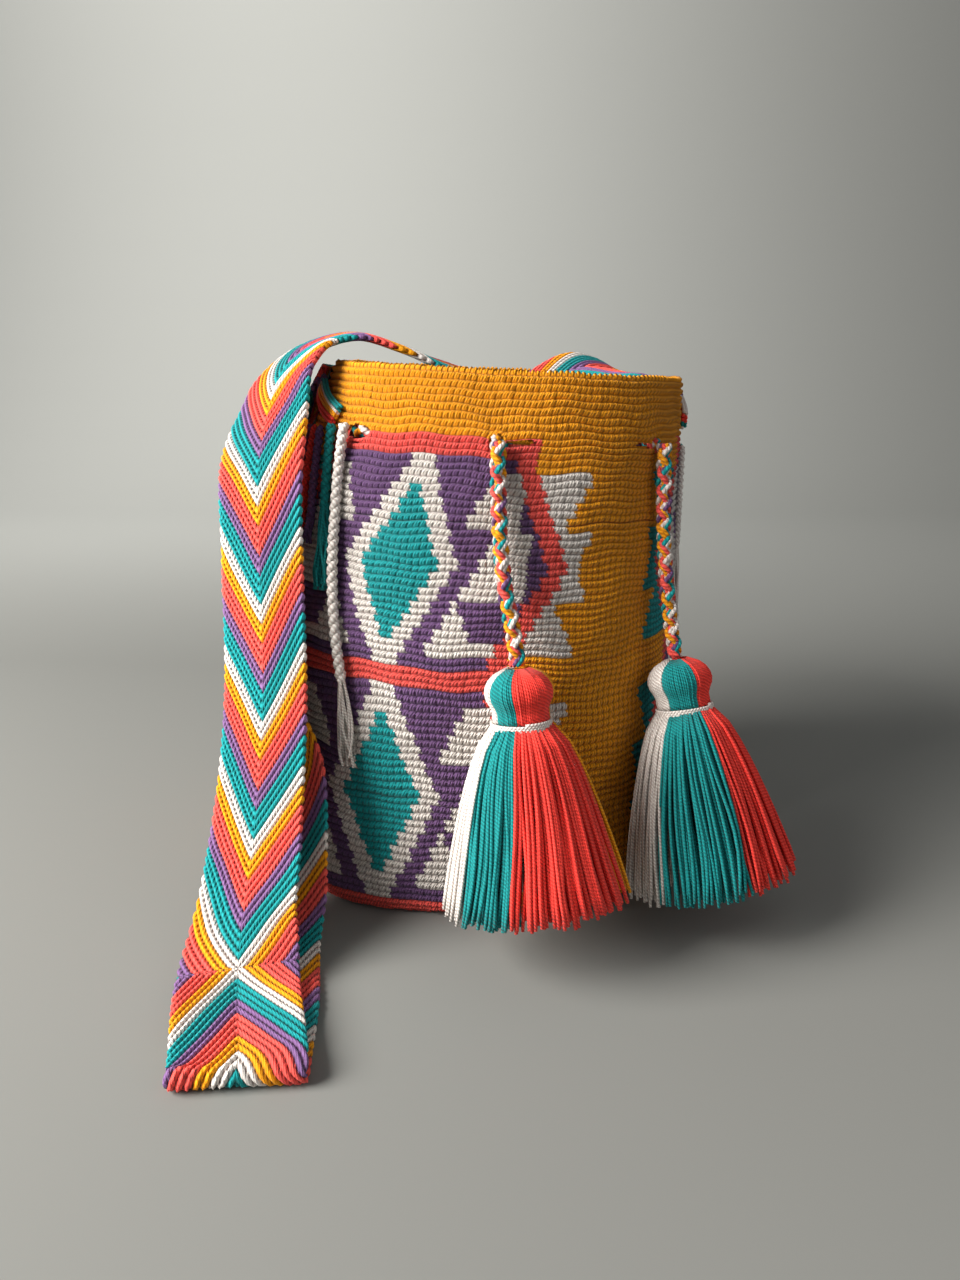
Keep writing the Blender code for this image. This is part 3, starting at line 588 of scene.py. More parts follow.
def wall_rows():
    """Rows of points on the outside, from the base turn up to the rim's top.

    Each has its height, place out from the wall, band, course, courses down from the rim and sample.
    """
    rows = []
    down = 2 * BAND_COURSES + 2
    for index in range(4 * SAMPLES):
        angle = math.radians(90.0 * index / (4 * SAMPLES))
        rows.append((EDGE_TURN * (1.0 - math.cos(angle)), -EDGE_TURN * (1.0 - math.sin(angle)),
                     "edge" if index < SAMPLES else "line", 0, down, index % SAMPLES))
    z = EDGE_TURN
    top_arc = 0.5 * WALL
    for band, height, courses, rounds in (
            ("band", LOWER_BAND, BAND_COURSES, 2), ("line", MIDDLE_LINE, 1, 3),
            ("band", UPPER_BAND, BAND_COURSES, 2), ("line", TOP_LINE, 1, 3),
            ("rim", RIM_BAND - top_arc, 4, 2)):
        step = height / (courses * rounds)
        for number in range(courses * rounds):
            course = courses - 1 - number // rounds
            if number % rounds == 0:
                down -= 1
            for part in range(SAMPLES):
                share = (number % rounds + part / SAMPLES) / rounds
                rows.append((z + step * part / SAMPLES, 0.0, band, course, down + 1.0 - share, part))
            z += step
    for part in range(SAMPLES):
        angle = math.radians(180.0 * part / SAMPLES)
        out = -top_arc * (1.0 - math.cos(angle))
        rows.append((z + top_arc * math.sin(angle), out, "rim", 0, 0.0, part))
    rows.append((z, -WALL, "rim", 0, 0.0, 0))
    return rows


def motif_degrees(columns, down):
    """Angles round the bag of these columns. The motif leans, because rounds are worked in a spiral."""
    return MOTIF_TURN + (columns[None, :] - MOTIF_LEAN * (down - MIDDLE_COURSE)) * 360.0 / STITCHES


def eyelet_holes():
    """Turn, sideways shift, half length and half height of each opening in the wall."""
    holes = [(turn, 0.0, EYELET_HALF_LENGTH, EYELET_HALF_HEIGHT) for turn in EYELET_TURNS]
    for turn, side in ((LEFT_EXIT_TURN, 1.0), (RIGHT_EXIT_TURN, -1.0)):
        holes.append((turn, -side * 0.5 * EXIT_SPREAD, EXIT_HALF_LENGTH, EXIT_HALF_HEIGHT))
        holes.append((turn, side * 0.5 * SLIT_LENGTH, 0.5 * SLIT_LENGTH, 0.5 * SLIT_HEIGHT))
    return holes


def in_hole(degrees, z):
    inside = np.zeros(degrees.shape, bool)
    if abs(z - EYELET_HEIGHT) < HOLE_REACH:
        for turn, shift, half_length, half_height in eyelet_holes():
            side = np.radians((degrees - turn + 180.0) % 360.0 - 180.0) * WALL_RADIUS - shift
            inside |= (side / half_length) ** 2 + ((z - EYELET_HEIGHT) / half_height) ** 2 < 1.0
    return inside


def normals(points):
    along = np.roll(points, -1, axis=1) - np.roll(points, 1, axis=1)
    return unit(np.cross(along, np.gradient(points, axis=0)))


def build_outside():
    rows = wall_rows()
    count = len(rows)
    columns = np.arange(COLUMNS) / LEGS
    z, out, down = (np.array([row[item] for row in rows])[:, None] for item in (0, 1, 4))
    part = np.array([row[5] for row in rows])
    number = np.arange(count) // SAMPLES
    degrees = motif_degrees(columns, down)
    turn = np.radians(degrees)
    flat = wall_point(degrees, z, out)
    height = ROW_PROFILE[part][:, None] + LEG_PROFILE[part][:, np.arange(COLUMNS) % LEGS]
    jitter = chance.normal(0.0, 0.00016, (number.max() + 1, STITCHES))
    height = height + jitter[number][:, np.arange(COLUMNS) // LEGS]
    slow = (0.0007 * np.sin(turn * 5.0 + z * 38.0) * np.cos(z * 61.0 + 1.0)
            + 0.0005 * np.sin(turn * 11.0 - z * 75.0 + 2.0))
    fade = np.clip(z / 0.02, 0.0, 1.0) * np.clip((BAG_HEIGHT - z) / 0.02, 0.3, 1.0)
    points = flat + normals(flat) * (height + slow * fade)[..., None]
    # No row is quite level and no column quite straight.
    points[..., 2] += fade * (0.0007 * np.sin(turn * 9.0 + 40.0 * z)
                              + 0.0005 * np.sin(turn * 23.0 + np.sin(z * 90.0) * 2.0)
                              + chance.normal(0.0, 0.00016, (count, 1)))
    shift = fade * (0.0005 * np.sin(z * 260.0 + turn * 3.0)
                    + chance.normal(0.0, 0.00022, (number.max() + 1, 1))[number])
    points += along_wall(degrees, z) * shift[..., None]
    # Loops along the rim's top edge.
    top = np.clip((np.arange(count) - (count - 5)) / 2.0, 0.0, 1.0)[:, None]
    points[..., 2] += top * 0.0009 * np.cos(2.0 * np.pi * columns)[None, :] * (out > -WALL + 1e-5)
    points[..., 2] = np.maximum(points[..., 2], 0.0)
    # Colours, one for each stitch, with a slanted side.
    colours = np.zeros((count - 1, COLUMNS), int)
    skip = np.zeros((count - 1, COLUMNS), bool)
    for index, (low, _, band, course, _, sample) in enumerate(rows[:-1]):
        lean = 0.42 * ((sample + 0.5) / SAMPLES - 0.5)
        colours[index] = motif(np.floor((np.arange(COLUMNS) + 0.5) / LEGS + lean) + 0.5, band, course)
        skip[index] = in_hole(0.5 * (degrees[index] + degrees[index + 1]), 0.5 * (low + rows[index + 1][0]))
    uv = uv_grid(np.arange(COLUMNS + 1) / LEGS, number + part / SAMPLES)
    pieces = []
    for label, first, stop in CUTS:
        low = first * SAMPLES
        high = count - 1 if stop is None else stop * SAMPLES
        pieces.append(grid(label, points[low:high + 1], yarns("crochet"), colours[low:high],
                           uv=uv[low:high + 1], skip=skip[low:high]))
    return pieces, points[0, ::LEGS], points[-1, ::LEGS]


def flat_rounds(ring, shares, z, rise):
    """Rounds on the flat inside a ring. Every second row of points is higher by rise."""
    rows = np.array([ring * [share, share, 0.0] for share in shares])
    rows[:, :, 2] = z
    rows[1::2, :, 2] += rise
    return rows


def build_inside_and_base(first_ring, last_ring):
    """The wrong side of the wall, the floor inside and the flat base, with one point for each stitch."""
    columns = np.arange(STITCHES, dtype=float)
    inner_edge = -WALL - EDGE_TURN
    rows = [row for row in wall_rows()
            if row[1] == 0.0 and row[5] in (0, 2) and row[0] > FLOOR + EDGE_TURN][::-1]
    z, down, part = (np.array([row[item] for row in rows])[:, None] for item in (0, 4, 5))
    degrees = motif_degrees(columns, down)
    # The turn at the bottom and the floor inside, in shrinking rounds.
    turn_rows = [wall_point(degrees[-1], FLOOR + EDGE_TURN * (1.0 - math.cos(angle)),
                            inner_edge + EDGE_TURN * math.sin(angle))
                 for angle in np.radians((70.0, 45.0, 20.0))]
    shares = np.arange(2 * BASE_ROUNDS) / (2 * BASE_ROUNDS)
    points = np.concatenate([
        last_ring[None], wall_point(degrees, z, -WALL + np.where(part == 0, 0.0004, -0.0002)), turn_rows,
        flat_rounds(wall_point(degrees[-1], FLOOR, inner_edge), 1.0 - shares, FLOOR - 0.0002, 0.0006),
        np.tile([0.0, 0.0, FLOOR], (1, STITCHES, 1))])
    colours = np.zeros((len(points) - 1, STITCHES), int)
    skip = np.zeros((len(points) - 1, STITCHES), bool)
    for index, (low, _, band, course, _, _) in enumerate(rows[:-1]):
        colours[index + 1] = motif(columns + 0.5, band, course)
        skip[index + 1] = in_hole(degrees[index], 0.5 * (low + rows[index + 1][0]))
    coral = YARN_ORDER.index("coral")
    colours[len(rows):len(rows) + 5] = coral
    uv = uv_grid(np.arange(STITCHES + 1), np.arange(len(points)) / 2.0)
    inside = grid("bag_inside", points, yarns("crochet"), colours, uv=uv, skip=skip)
    # The base, worked in rounds from its middle.
    points = np.concatenate([flat_rounds(first_ring, shares, 0.0, 0.0004), first_ring[None]])
    colours = np.zeros((len(points) - 1, STITCHES), int)
    colours[-12:-6] = coral
    uv = uv_grid(np.arange(STITCHES + 1), np.arange(len(points)) / 2.0)
    return [inside, grid("bag_base", points, yarns("crochet"), colours, uv=uv)]


def build_eyelet_edges():
    """Rounded yarn edges that line the openings: orange above and coral below. The slits have none."""
    paths = []
    colours = []
    for turn, shift, half_length, half_height in eyelet_holes():
        if half_height < SLIT_HEIGHT:
            continue
        for first, colour in ((0.0, "orange"), (np.pi, "coral")):
            angle = np.linspace(first, first + np.pi, 25)
            degrees = turn + np.degrees((shift + half_length * np.cos(angle)) / WALL_RADIUS)
            for depth in (0.0014, 0.0026):
                paths.append(wall_point(degrees, EYELET_HEIGHT + half_height * np.sin(angle), -depth))
                colours.append(YARN_ORDER.index(colour))
    paths = np.array(paths)
    return tubes("eyelet_edges", paths, np.full(paths.shape[:2], 0.0009), "ply", colours, sides=6,
                 up=(0.3, 0.2, 0.93))


# The strap.

def smooth_path(points, piece=0.002):
    """A dense smooth curve through unevenly spaced control points."""
    points = np.asarray(points, float)
    last = len(points) - 1
    gaps = np.linalg.norm(np.diff(points[:, :3], axis=0), axis=1)
    slopes = np.zeros_like(points)
    slopes[0] = (points[1] - points[0]) / gaps[0]
    slopes[last] = (points[last] - points[last - 1]) / gaps[-1]
    for index in range(1, last):
        low = gaps[index - 1]
        high = gaps[index]
        slopes[index] = ((points[index] - points[index - 1]) * high / low
                         + (points[index + 1] - points[index]) * low / high) / (low + high)
    dense = []
    for index in range(last):
        gap = gaps[index]
        pieces = max(3, int(gap / piece))
        for step in range(pieces):
            u = step / pieces
            start = (1.0 + 2.0 * u) * (1.0 - u) ** 2
            end = u * u * (3.0 - 2.0 * u)
            leave = u * (1.0 - u) ** 2 * gap
            arrive = u * u * (u - 1.0) * gap
            dense.append(points[index] * start + points[index + 1] * end + slopes[index] * leave
                         + slopes[index + 1] * arrive)
    dense.append(points[last])
    return np.array(dense)


def strap_route():
    """Centre, direction across and width of the strap from its right end to its left end."""
    half = 0.5 * STRAP_THICKNESS
    stand = RIDGE + GAP + half + STRAP_RIDGE
    rim_right = wall_point(90.0, BAG_HEIGHT)
    rim_left = wall_point(-90.0, BAG_HEIGHT)
    route = []

    def add(point, across, width=STRAP_WIDTH):
        route.append([*point, *unit(np.asarray(across, float)), width])

    turn = RIGHT_ATTACH_TURN
    across = along_wall(turn, BAG_HEIGHT)
    inside = -WALL - GROOVE - GAP - half - STRAP_RIDGE - 0.125 * STRAP_END_WIDTH ** 2 / MOUTH_HALF_DEPTH
    add(beside(turn, BAG_HEIGHT - ATTACH_DROP, inside), across, STRAP_END_WIDTH)
    add(beside(turn, BAG_HEIGHT - 0.5 * ATTACH_DROP, inside - 0.0006), across, STRAP_END_WIDTH)
    add(beside(turn, BAG_HEIGHT - 0.006, inside - 0.0050), across, 0.5 * (STRAP_END_WIDTH + STRAP_WIDTH))
    # Over the mouth, then out over the left of the rim.
    for share, back, rise, across in ((0.77, 0.031, 0.0030, (-0.25, 0.93, 0.28)),
                                      (0.52, 0.018, -0.0130, (-0.05, 0.98, 0.18)),
                                      (0.29, 0.001, 0.0010, (0.0, 1.0, 0.0)),
                                      (0.185, -0.006, 0.6 * ARCH_RISE, (-0.05, 1.0, 0.0)),
                                      (0.06, -0.013, ARCH_RISE, (-0.15, 1.0, 0.04))):
        add(mix(rim_left, rim_right, share) + (0.0, back, rise), across)
    for shift, across in (((-0.012, -0.024, 0.0075), (-0.28, 0.94, 0.05)),
                          ((-0.026, -0.042, -0.0075), (-0.52, 0.84, 0.03)),
                          ((-0.031, -0.059, -0.027), (-0.70, 0.71, 0.0)),
                          ((-0.0335, -0.080, -0.055), (-0.82, 0.57, 0.0))):
        add(rim_left + shift, across)
    # Down beside the bag, the fold on the floor, and back up along the wall.
    side = -BELLY_HALF_WIDTH
    front = -BASE_HALF_DEPTH
    middle = BELLY_HEIGHT
    add((side + 0.007, front + 0.031, middle + 0.068), (-0.83, 0.56, 0.0))
    add((side + 0.0085, front + 0.010, middle - 0.006), (-0.83, 0.56, 0.0))
    add((side + 0.0040, front - 0.019, 0.054), (-0.88, 0.47, 0.0))
    floor = half + STRAP_RIDGE + GAP
    upper = floor + 2.0 * FOLD_RADIUS
    add((side + 0.0015, front - 0.042, upper + 0.012), (-0.93, 0.36, 0.0))
    add((side + 0.0035, front - 0.062, upper + 0.0015), (-0.99, 0.10, 0.0))
    fold_y = front - FOLD_REACH
    fold_x = side + 0.0195
    across = (-0.995, -0.09, 0.0)
    add((fold_x - 0.009, fold_y + 0.036, upper), (-0.97, -0.22, 0.0))
    add((fold_x - 0.003, fold_y + 0.014, upper), across)
    add((fold_x, fold_y, upper), across)
    for degrees in (30.0, 60.0, 90.0, 120.0, 150.0):
        angle = math.radians(degrees)
        add((fold_x, fold_y - FOLD_RADIUS * math.sin(angle),
             floor + FOLD_RADIUS * (1.0 + math.cos(angle))), across)
    add((fold_x, fold_y, floor), across)
    add((fold_x - 0.001, fold_y + 0.016, floor), across)
    add((fold_x - 0.003, fold_y + 0.045, floor), across)
    add((side + 0.0105, front - 0.038, floor + 0.0022), (-0.95, 0.30, 0.0))
    add((side + 0.0140, front - 0.009, 0.024), (-0.85, 0.52, 0.0))
    add((side + 0.0160, front + 0.025, 0.080), (-0.72, 0.69, 0.0))
    add(wall_point(-65.0, middle + 0.005, 0.013), (-0.42, 0.90, 0.0))
    add(wall_point(-78.0, middle + 0.066, 0.011), (-0.20, 0.98, 0.0))
    add(beside(LEFT_ATTACH_TURN + 3.0, BAG_HEIGHT - 0.048, stand + 0.0040), (-0.07, 1.0, 0.0))
    turn = LEFT_ATTACH_TURN
    across = -along_wall(turn, BAG_HEIGHT)
    add(beside(turn, BAG_HEIGHT - 0.024, stand + 0.0026), across, 0.5 * (STRAP_END_WIDTH + STRAP_WIDTH))
    add(beside(turn, BAG_HEIGHT - 0.004, stand + 0.0003), across, STRAP_END_WIDTH)
    return route


# The strap's cords in order, as numbers in YARN_ORDER, and the points across one cord.
STRAP_ORDER = np.array([4, 3, 3, 3, 2, 2, 1, 1, 1, 0, 0, 4])
STRAP_SAMPLES = 5
STRAP_COLUMNS = 29
CORD_PROFILE = (-0.0008, 0.0000, 0.0004, 0.0004, 0.0000)


def build_strap():
    """Two pieces that meet in the X at the strap's middle, with the weave's cords along the chevrons."""
    dense = smooth_path(strap_route())
    line = dense[:, :3]
    run = run_along(line)
    goal = np.array([-BELLY_HALF_WIDTH - 0.006, -BASE_HALF_DEPTH - 0.060, 0.0])
    middle = run[np.argmin(np.linalg.norm(line - goal, axis=1))]
    end = run[-1]
    direction = unit(np.gradient(line, run, axis=0))

    def at(where):
        way = unit(read_off(where, run, direction))
        across = read_off(where, run, dense[:, 3:])
        across = unit(across - way * np.sum(across * way, axis=-1, keepdims=True))
        face = unit(np.cross(across, way))
        return read_off(where, run, line), across, face, np.interp(where, run, dense[:, 6])

    share = np.linspace(-1.0, 1.0, STRAP_COLUMNS)
    share = np.sign(share) * (1.0 - (1.0 - np.abs(share)) ** 1.15)
    both = np.concatenate([share, share[::-1]])
    face_sign = np.concatenate([np.ones(STRAP_COLUMNS), -np.ones(STRAP_COLUMNS)])
    pieces = []
    for name, sign, room in (("strap_return", 1.0, end - middle), ("strap_front", -1.0, middle)):
        lowest = -math.ceil(CHEVRON_SLOPE * 0.5 * STRAP_WIDTH / STRAP_CORD)
        cords = math.ceil(room / STRAP_CORD) - lowest
        number = np.repeat(np.arange(cords), STRAP_SAMPLES) + lowest
        sample = np.tile(np.arange(STRAP_SAMPLES), cords)
        number = np.concatenate([number[:1], number, number[-1:]])
        sample = np.concatenate([sample[:1], sample, sample[-1:]])
        phase = number + sample / STRAP_SAMPLES
        away = phase[:, None] * STRAP_CORD + CHEVRON_SLOPE * 0.5 * STRAP_WIDTH * np.abs(both)[None, :]
        away = np.clip(away, 0.0, room)
        point, across, face, width = at(middle + sign * away)
        edge = np.clip((np.abs(both) - 0.86) / 0.14, 0.0, 1.0)[None, :]
        clamped = (away <= 0.0) | (away >= room)
        bump = np.where(clamped, 0.0, np.array(CORD_PROFILE)[sample][:, None])
        notch = -0.0005 * np.exp(-(both * 0.5 * STRAP_WIDTH / 0.0011) ** 2)[None, :]
        thick = 0.5 * STRAP_THICKNESS * (1.0 - 0.55 * edge ** 2) + bump * (1.0 - 0.5 * edge) + notch
        thick = np.broadcast_to(thick, away.shape).copy()
        thick[0] = 0.0
        thick[-1] = 0.0
        wide = 0.5 * width * both[None, :] + np.sign(both)[None, :] * edge * (bump * 0.9)
        points = point + across * wide[..., None] + face * (face_sign[None, :] * thick)[..., None]
        points[..., 2] = np.maximum(points[..., 2], 0.0004)
        skip = np.zeros((len(phase) - 1, len(both)), bool)
        for limit in (0.0, room):
            stopped = (away[:-1] == limit) & (away[1:] == limit)
            skip |= stopped & np.roll(stopped, -1, axis=1)
        skip[0] = False
        skip[-1] = False
        colours = np.repeat(STRAP_ORDER[number[:-1] % len(STRAP_ORDER)][:, None], len(both), axis=1)
        uv = uv_grid(np.append(both, both[0]) * 0.5 * STRAP_WIDTH * 1000.0 * 1.75, phase)
        piece = grid(name, points, yarns("woven"), colours, uv=uv, skip=skip, flip=sign < 0.0)
        pieces.append(weld(piece))
    return pieces, middle, end


# Braided and twisted cords.

BRAID_PERIOD = 0.0195
BRAID_RING = 0.0018
BRAID_LIFT = 0.0007
PLY_PERIOD = 0.034


def braid(name, line, colours, strand=0.0019, sides=6, up=(0.31, 0.22, 0.92)):
    """A round braid: two strands wind to the left over and under two that wind to the right.

    colours names one yarn for each ply of each strand.
    """
    side, other = line_frames(line)
    run = run_along(line)
    turn = 2.0 * np.pi * run / BRAID_PERIOD
    paths = []
    for number, plies in enumerate(colours):
        way = 1.0 if number % 2 == 0 else -1.0
        radius = BRAID_RING + way * BRAID_LIFT * np.sin(2.0 * turn)
        centre = around(line, side, other, radius, way * turn + number * 0.5 * np.pi)
        ring = 0.0 if len(plies) == 1 else 0.50 * strand
        for ply in range(len(plies)):
            angle = way * 2.0 * np.pi * run / PLY_PERIOD + 2.0 * np.pi * ply / len(plies)
            paths.append(around(centre, side, other, ring, angle))
    paths = np.array(paths)
    radii = np.full(paths.shape[:2], strand if len(colours[0]) == 1 else 0.60 * strand)
    radii[:, [0, -1]] *= 0.7
    return tubes(name, paths, radii, "ply", sum(colours, ()), sides=sides, up=up)


def twisted(line, period, ring, start):
    """Paths of two strands twisted round a line."""
    side, other = line_frames(line)
    turn = 2.0 * np.pi * run_along(line) / period + start
    return [around(line, side, other, ring, turn + number * np.pi) for number in range(2)]


def exit_bend(degrees, way, inside):
    z = EYELET_HEIGHT
    round_wall = along_wall(degrees, z) * way
    out = outward(degrees, z)
    base = wall_point(degrees, z)
    radius = -inside
    points = [base]
    for angle in (22.5, 45.0, 67.5, 90.0):
        turn = math.radians(angle)
        points.append(base + round_wall * radius * (1.0 - math.cos(turn)) - out * radius * math.sin(turn))
    return points


def drawstring_points():
    """Inside the wall from one exit eyelet round the back to the other."""
    inside = -WALL - GROOVE - CORD_STAND - 0.5 * CORD
    radius = 0.0974
    points = exit_bend(LEFT_EXIT_TURN, -1.0, inside)
    bend = math.degrees(-inside / radius)
    first = LEFT_EXIT_TURN - bend - 2.0
    last = RIGHT_EXIT_TURN - 360.0 + bend + 2.0
    bump_half = math.degrees(0.0115 / radius)
    for index in range(151):
        turn = mix(first, last, index / 150.0)
        nearest = min(abs((turn - spot + 180.0) % 360.0 - 180.0) for spot in EYELET_TURNS)
        out = inside
        if nearest < bump_half:
            out += 0.0041 * math.cos(0.5 * math.pi * nearest / bump_half) ** 2
        points.append(wall_point(turn, EYELET_HEIGHT, out))
    points += exit_bend(RIGHT_EXIT_TURN, 1.0, inside)[::-1]
    return np.array(points)


def hanging_points(exit_turn, head_turn, head_drop):
    """The free end from its pivot down to the top of its tassel."""
    stand = RIDGE + 2.0 * GAP + 0.5 * CORD
    out = outward(exit_turn, EYELET_HEIGHT) * (RIDGE + GAP + 0.5 * CORD)
    points = [wall_point(exit_turn, EYELET_HEIGHT) + out]
    for number in range(1, 7):
        share = number / 6.0
        out = stand + (HEAD_HALF_WIDTH - 0.5 * CORD) * share * share
        points.append(beside(mix(exit_turn, head_turn, share), EYELET_HEIGHT - head_drop * share, out))
    return points


# Tassels.

def tassel_frame(head, foot, out):
    axis = unit(foot - head)
    side = np.array([-out[1], out[0], 0.0])
    side = unit(side - axis * np.dot(side, axis))
    front = np.cross(side, axis)
    if np.dot(front, out) < 0.0:
        front = -front
    return axis, side, front


def head_radius(down):
    """Radius of a tassel's head at a distance down from its top."""
    angle = np.arccos(np.clip(1.0 - 2.0 * down / (0.94 * HEAD_LENGTH), -1.0, 1.0))
    bulb = HEAD_HALF_WIDTH * np.sin(angle)
    low = np.where(down < 0.5 * HEAD_LENGTH, TASSEL_CAP, NECK_HALF_WIDTH * 0.98)
    return np.maximum(bulb, low)


def hank_of(degrees, hanks):
    for label, start, end in hanks:
        if (degrees - start) % 360.0 < end - start:
            return label
    return hanks[0][0]


SKIRT_RINGS = ((1.0, 138), (0.94, 128), (0.87, 112), (0.76, 66), (0.58, 52), (0.36, 30), (0.14, 12))
HEAD_STRANDS = 88
STRAND_POINTS = 10
CORE_STEP = 7.5


def skirt_strands(place, skirt_half, hanks):
    """Yarn, path and radius of each strand of the skirt, in rings from the outside in."""
    steps = np.linspace(0.0, 1.0, STRAND_POINTS)
    half = [mix(0.96 * NECK_HALF_WIDTH, size - 0.0016, steps ** SKIRT_FLARE) for size in skirt_half]
    strands = []
    for ring, count in SKIRT_RINGS:
        for number in range(count):
            degrees = 360.0 * (number + chance.uniform(-0.3, 0.3)) / count - 180.0
            angle = math.radians(degrees)
            reach = ring * (1.0 + chance.normal(0.0, 0.020))
            length = SKIRT_LENGTH + chance.normal(-0.0022, 0.0016) - 0.004 * (1.0 - ring)
            length = min(length, SKIRT_LENGTH + 0.0008)
            sway = (0.0016 * steps * np.sin(2.0 * angle + 5.0 * steps)
                    + chance.normal(0.0, 0.0009) * np.sin(np.pi * steps)
                    + chance.normal(0.0, 0.0006) * np.sin(2.0 * np.pi * steps))
            spread = angle + 0.035 * chance.normal() * steps
            across = half[0] * reach * np.sin(spread) + sway * np.cos(spread)
            ahead = half[1] * reach * np.cos(spread) - sway * np.sin(spread)
            down = HEAD_LENGTH + 0.5 * BINDING_HEIGHT + (length - 0.5 * BINDING_HEIGHT) * steps
            radius = mix(0.00088, 0.00108, steps) + chance.normal(0.0, 0.00005)
            radius[-1] *= 0.8
            strands.append((hank_of(degrees, hanks), place(down, across, ahead), radius))
    return strands


def head_strands(place, hanks):
    """The same for the strands drawn over the head."""
    steps = np.linspace(0.02, 1.0, STRAND_POINTS)
    down = HEAD_LENGTH * steps + 0.0004
    strands = []
    for number in range(HEAD_STRANDS):
        degrees = 360.0 * (number + chance.uniform(-0.15, 0.15)) / HEAD_STRANDS - 180.0
        radius = head_radius(down) - 0.0008 + chance.normal(0.0, 0.00012)
        angle = math.radians(degrees) + 0.10 * (steps - 0.5)
        path = place(down, radius * np.sin(angle), radius * np.cos(angle))
        strands.append((hank_of(degrees, hanks), path, np.full(STRAND_POINTS, 0.00078)))
    return strands


def build_core(name, place, skirt_half, hanks):
    """A core that closes the gaps between the strands."""
    rows = []
    for down in (0.002, 0.006, 0.013, 0.020, 0.026, 0.030):
        radius = 0.82 * head_radius(down) - 0.0006
        rows.append((down, radius, radius))
    for step in (0.1, 0.3, 0.5, 0.66):
        wide, deep = (0.52 * mix(0.9 * NECK_HALF_WIDTH, size, step ** SKIRT_FLARE) for size in skirt_half)
        rows.append((HEAD_LENGTH + BINDING_HEIGHT + (SKIRT_LENGTH - BINDING_HEIGHT) * step, wide, deep))
    turn = np.radians(np.arange(0.0, 360.0, CORE_STEP))
    rings = [place(np.full(len(turn), down), wide * np.sin(turn), deep * np.cos(turn))
             for down, wide, deep in rows]
    top, bottom = (np.tile(ring.mean(axis=0), (len(turn), 1)) for ring in (rings[0], rings[-1]))
    points = np.array([top, *rings, bottom])
    colours = [YARN_ORDER.index(hank_of(math.degrees(angle) + 0.5 * CORE_STEP, hanks)) for angle in turn]
    uv = uv_grid(np.arange(len(turn) + 1), 6.0 * np.arange(len(points)))
    return grid(name, points, yarns("thread"), np.tile(colours, (len(points) - 1, 1)), uv=uv)


def build_tassel(side_name, exit_turn, head_turn, head_drop, foot_turn, foot_out, skirt_half, hanks):
    """A free end of the drawstring and its tassel: strands by yarn, core and winding."""
    points = hanging_points(exit_turn, head_turn, head_drop)
    tip = points[-1]
    z_foot = EYELET_HEIGHT - head_drop - HEAD_LENGTH - SKIRT_LENGTH
    foot = wall_point(foot_turn, z_foot, foot_out)
    axis = unit(foot - tip)
    points[-2] = mix(points[-2], tip - axis * np.linalg.norm(tip - points[-2]), 0.5)
    points.insert(-1, tip - axis * 0.5 * CORD)
    head = tip + axis * GAP
    axis, side, front = tassel_frame(head, foot, outward(head_turn, EYELET_HEIGHT - head_drop))
    line = resample(smooth_path(np.array(points)), 150)
    exit_angle = math.radians(exit_turn)
    rope = braid(side_name + "_cord_braid", line, ((4, 3, 2), (0, 0, 1), (4, 3, 4), (1, 1, 0)),
                 strand=0.0022, sides=5, up=(math.cos(exit_angle), math.sin(exit_angle), 0.0))

    def place(down, across, ahead):
        return head + axis * down[:, None] + side * across[:, None] + front * ahead[:, None]

    strands = skirt_strands(place, skirt_half, hanks) + head_strands(place, hanks)
    skirts = {}
    for label in dict.fromkeys(label for label, _, _ in strands):
        chosen = [strand for strand in strands if strand[0] == label]
        skirts[label] = tubes(side_name + "_strands_" + label, np.array([path for _, path, _ in chosen]),
                              np.array([radius for _, _, radius in chosen]), "thread",
                              np.full(len(chosen), YARN_ORDER.index(label)), sides=4, up=front)
    core = build_core(side_name + "_tassel_core", place, skirt_half, hanks)
    # White thread wound round the neck.
    wind = np.linspace(0.0, 1.0, 180)
    angle = 2.0 * np.pi * 3.3 * wind
    radius = NECK_HALF_WIDTH + 0.0002 + 0.0003 * np.sin(3.0 * angle)
    down = HEAD_LENGTH + 0.0004 + 0.0036 * wind + 0.0003 * np.sin(angle)
    loop = place(down, radius * np.sin(angle), radius * np.cos(angle))
    winding = tubes(side_name + "_winding", loop[None], np.full((1, len(wind)), 0.00082), "thread",
                    [YARN_ORDER.index("white")], sides=7, up=axis)
    return rope, skirts, core, winding, line, points[0]


# Yarns at the strap's ends.

def fringe_cord(name, colour, line, twist_share, thickness, loose, spread):
    """A two-ply cord whose lower end has come loose into single strands."""
    count = max(24, int(run_along(line)[-1] / 0.0020))
    line = resample(line, count)
    last = int(twist_share * (count - 1))
    spot = np.arange(count)
    held = np.minimum(spot, last)
    paths = []
    radii = []
    for path in twisted(line, 1.7 * thickness, 0.21 * thickness, chance.uniform(0.0, 6.0)):
        paths.append(path[held] + (line - line[held]) * 0.10 * (spot > last)[:, None])
        radii.append(np.where(spot <= last, 0.30 * thickness, 0.10 * thickness))
    side, other = line_frames(line)
    for number in range(loose):
        stop = 1.0 if number % 2 == 0 else 1.0 - chance.uniform(0.02, 0.16)
        along = np.linspace(0.0, 1.0, count) * stop
        place = mix(last - 3.0, count - 1.0, along)
        opened = np.clip(along * 1.2, 0.0, 1.0) ** 0.7
        ring = (0.12 * thickness + spread * opened) * math.sqrt((number + 0.6) / loose)
        angle = 2.0 * np.pi * number * GOLDEN + 0.8 * np.sin(5.0 * along + number)
        low = place.astype(int).clip(0, count - 1)
        paths.append(around(read_off(place, spot, line), side[low], other[low], ring, angle))
        radii.append(np.full(count, 0.00078))
    colours = np.full(len(paths), YARN_ORDER.index(colour))
    return tubes(name, np.array(paths), np.array(radii), "thread", colours, up=(0.92, 0.39, 0.0)), line


LASHING_WIDTH = 0.013
LASHING_THICKNESS = 0.0034


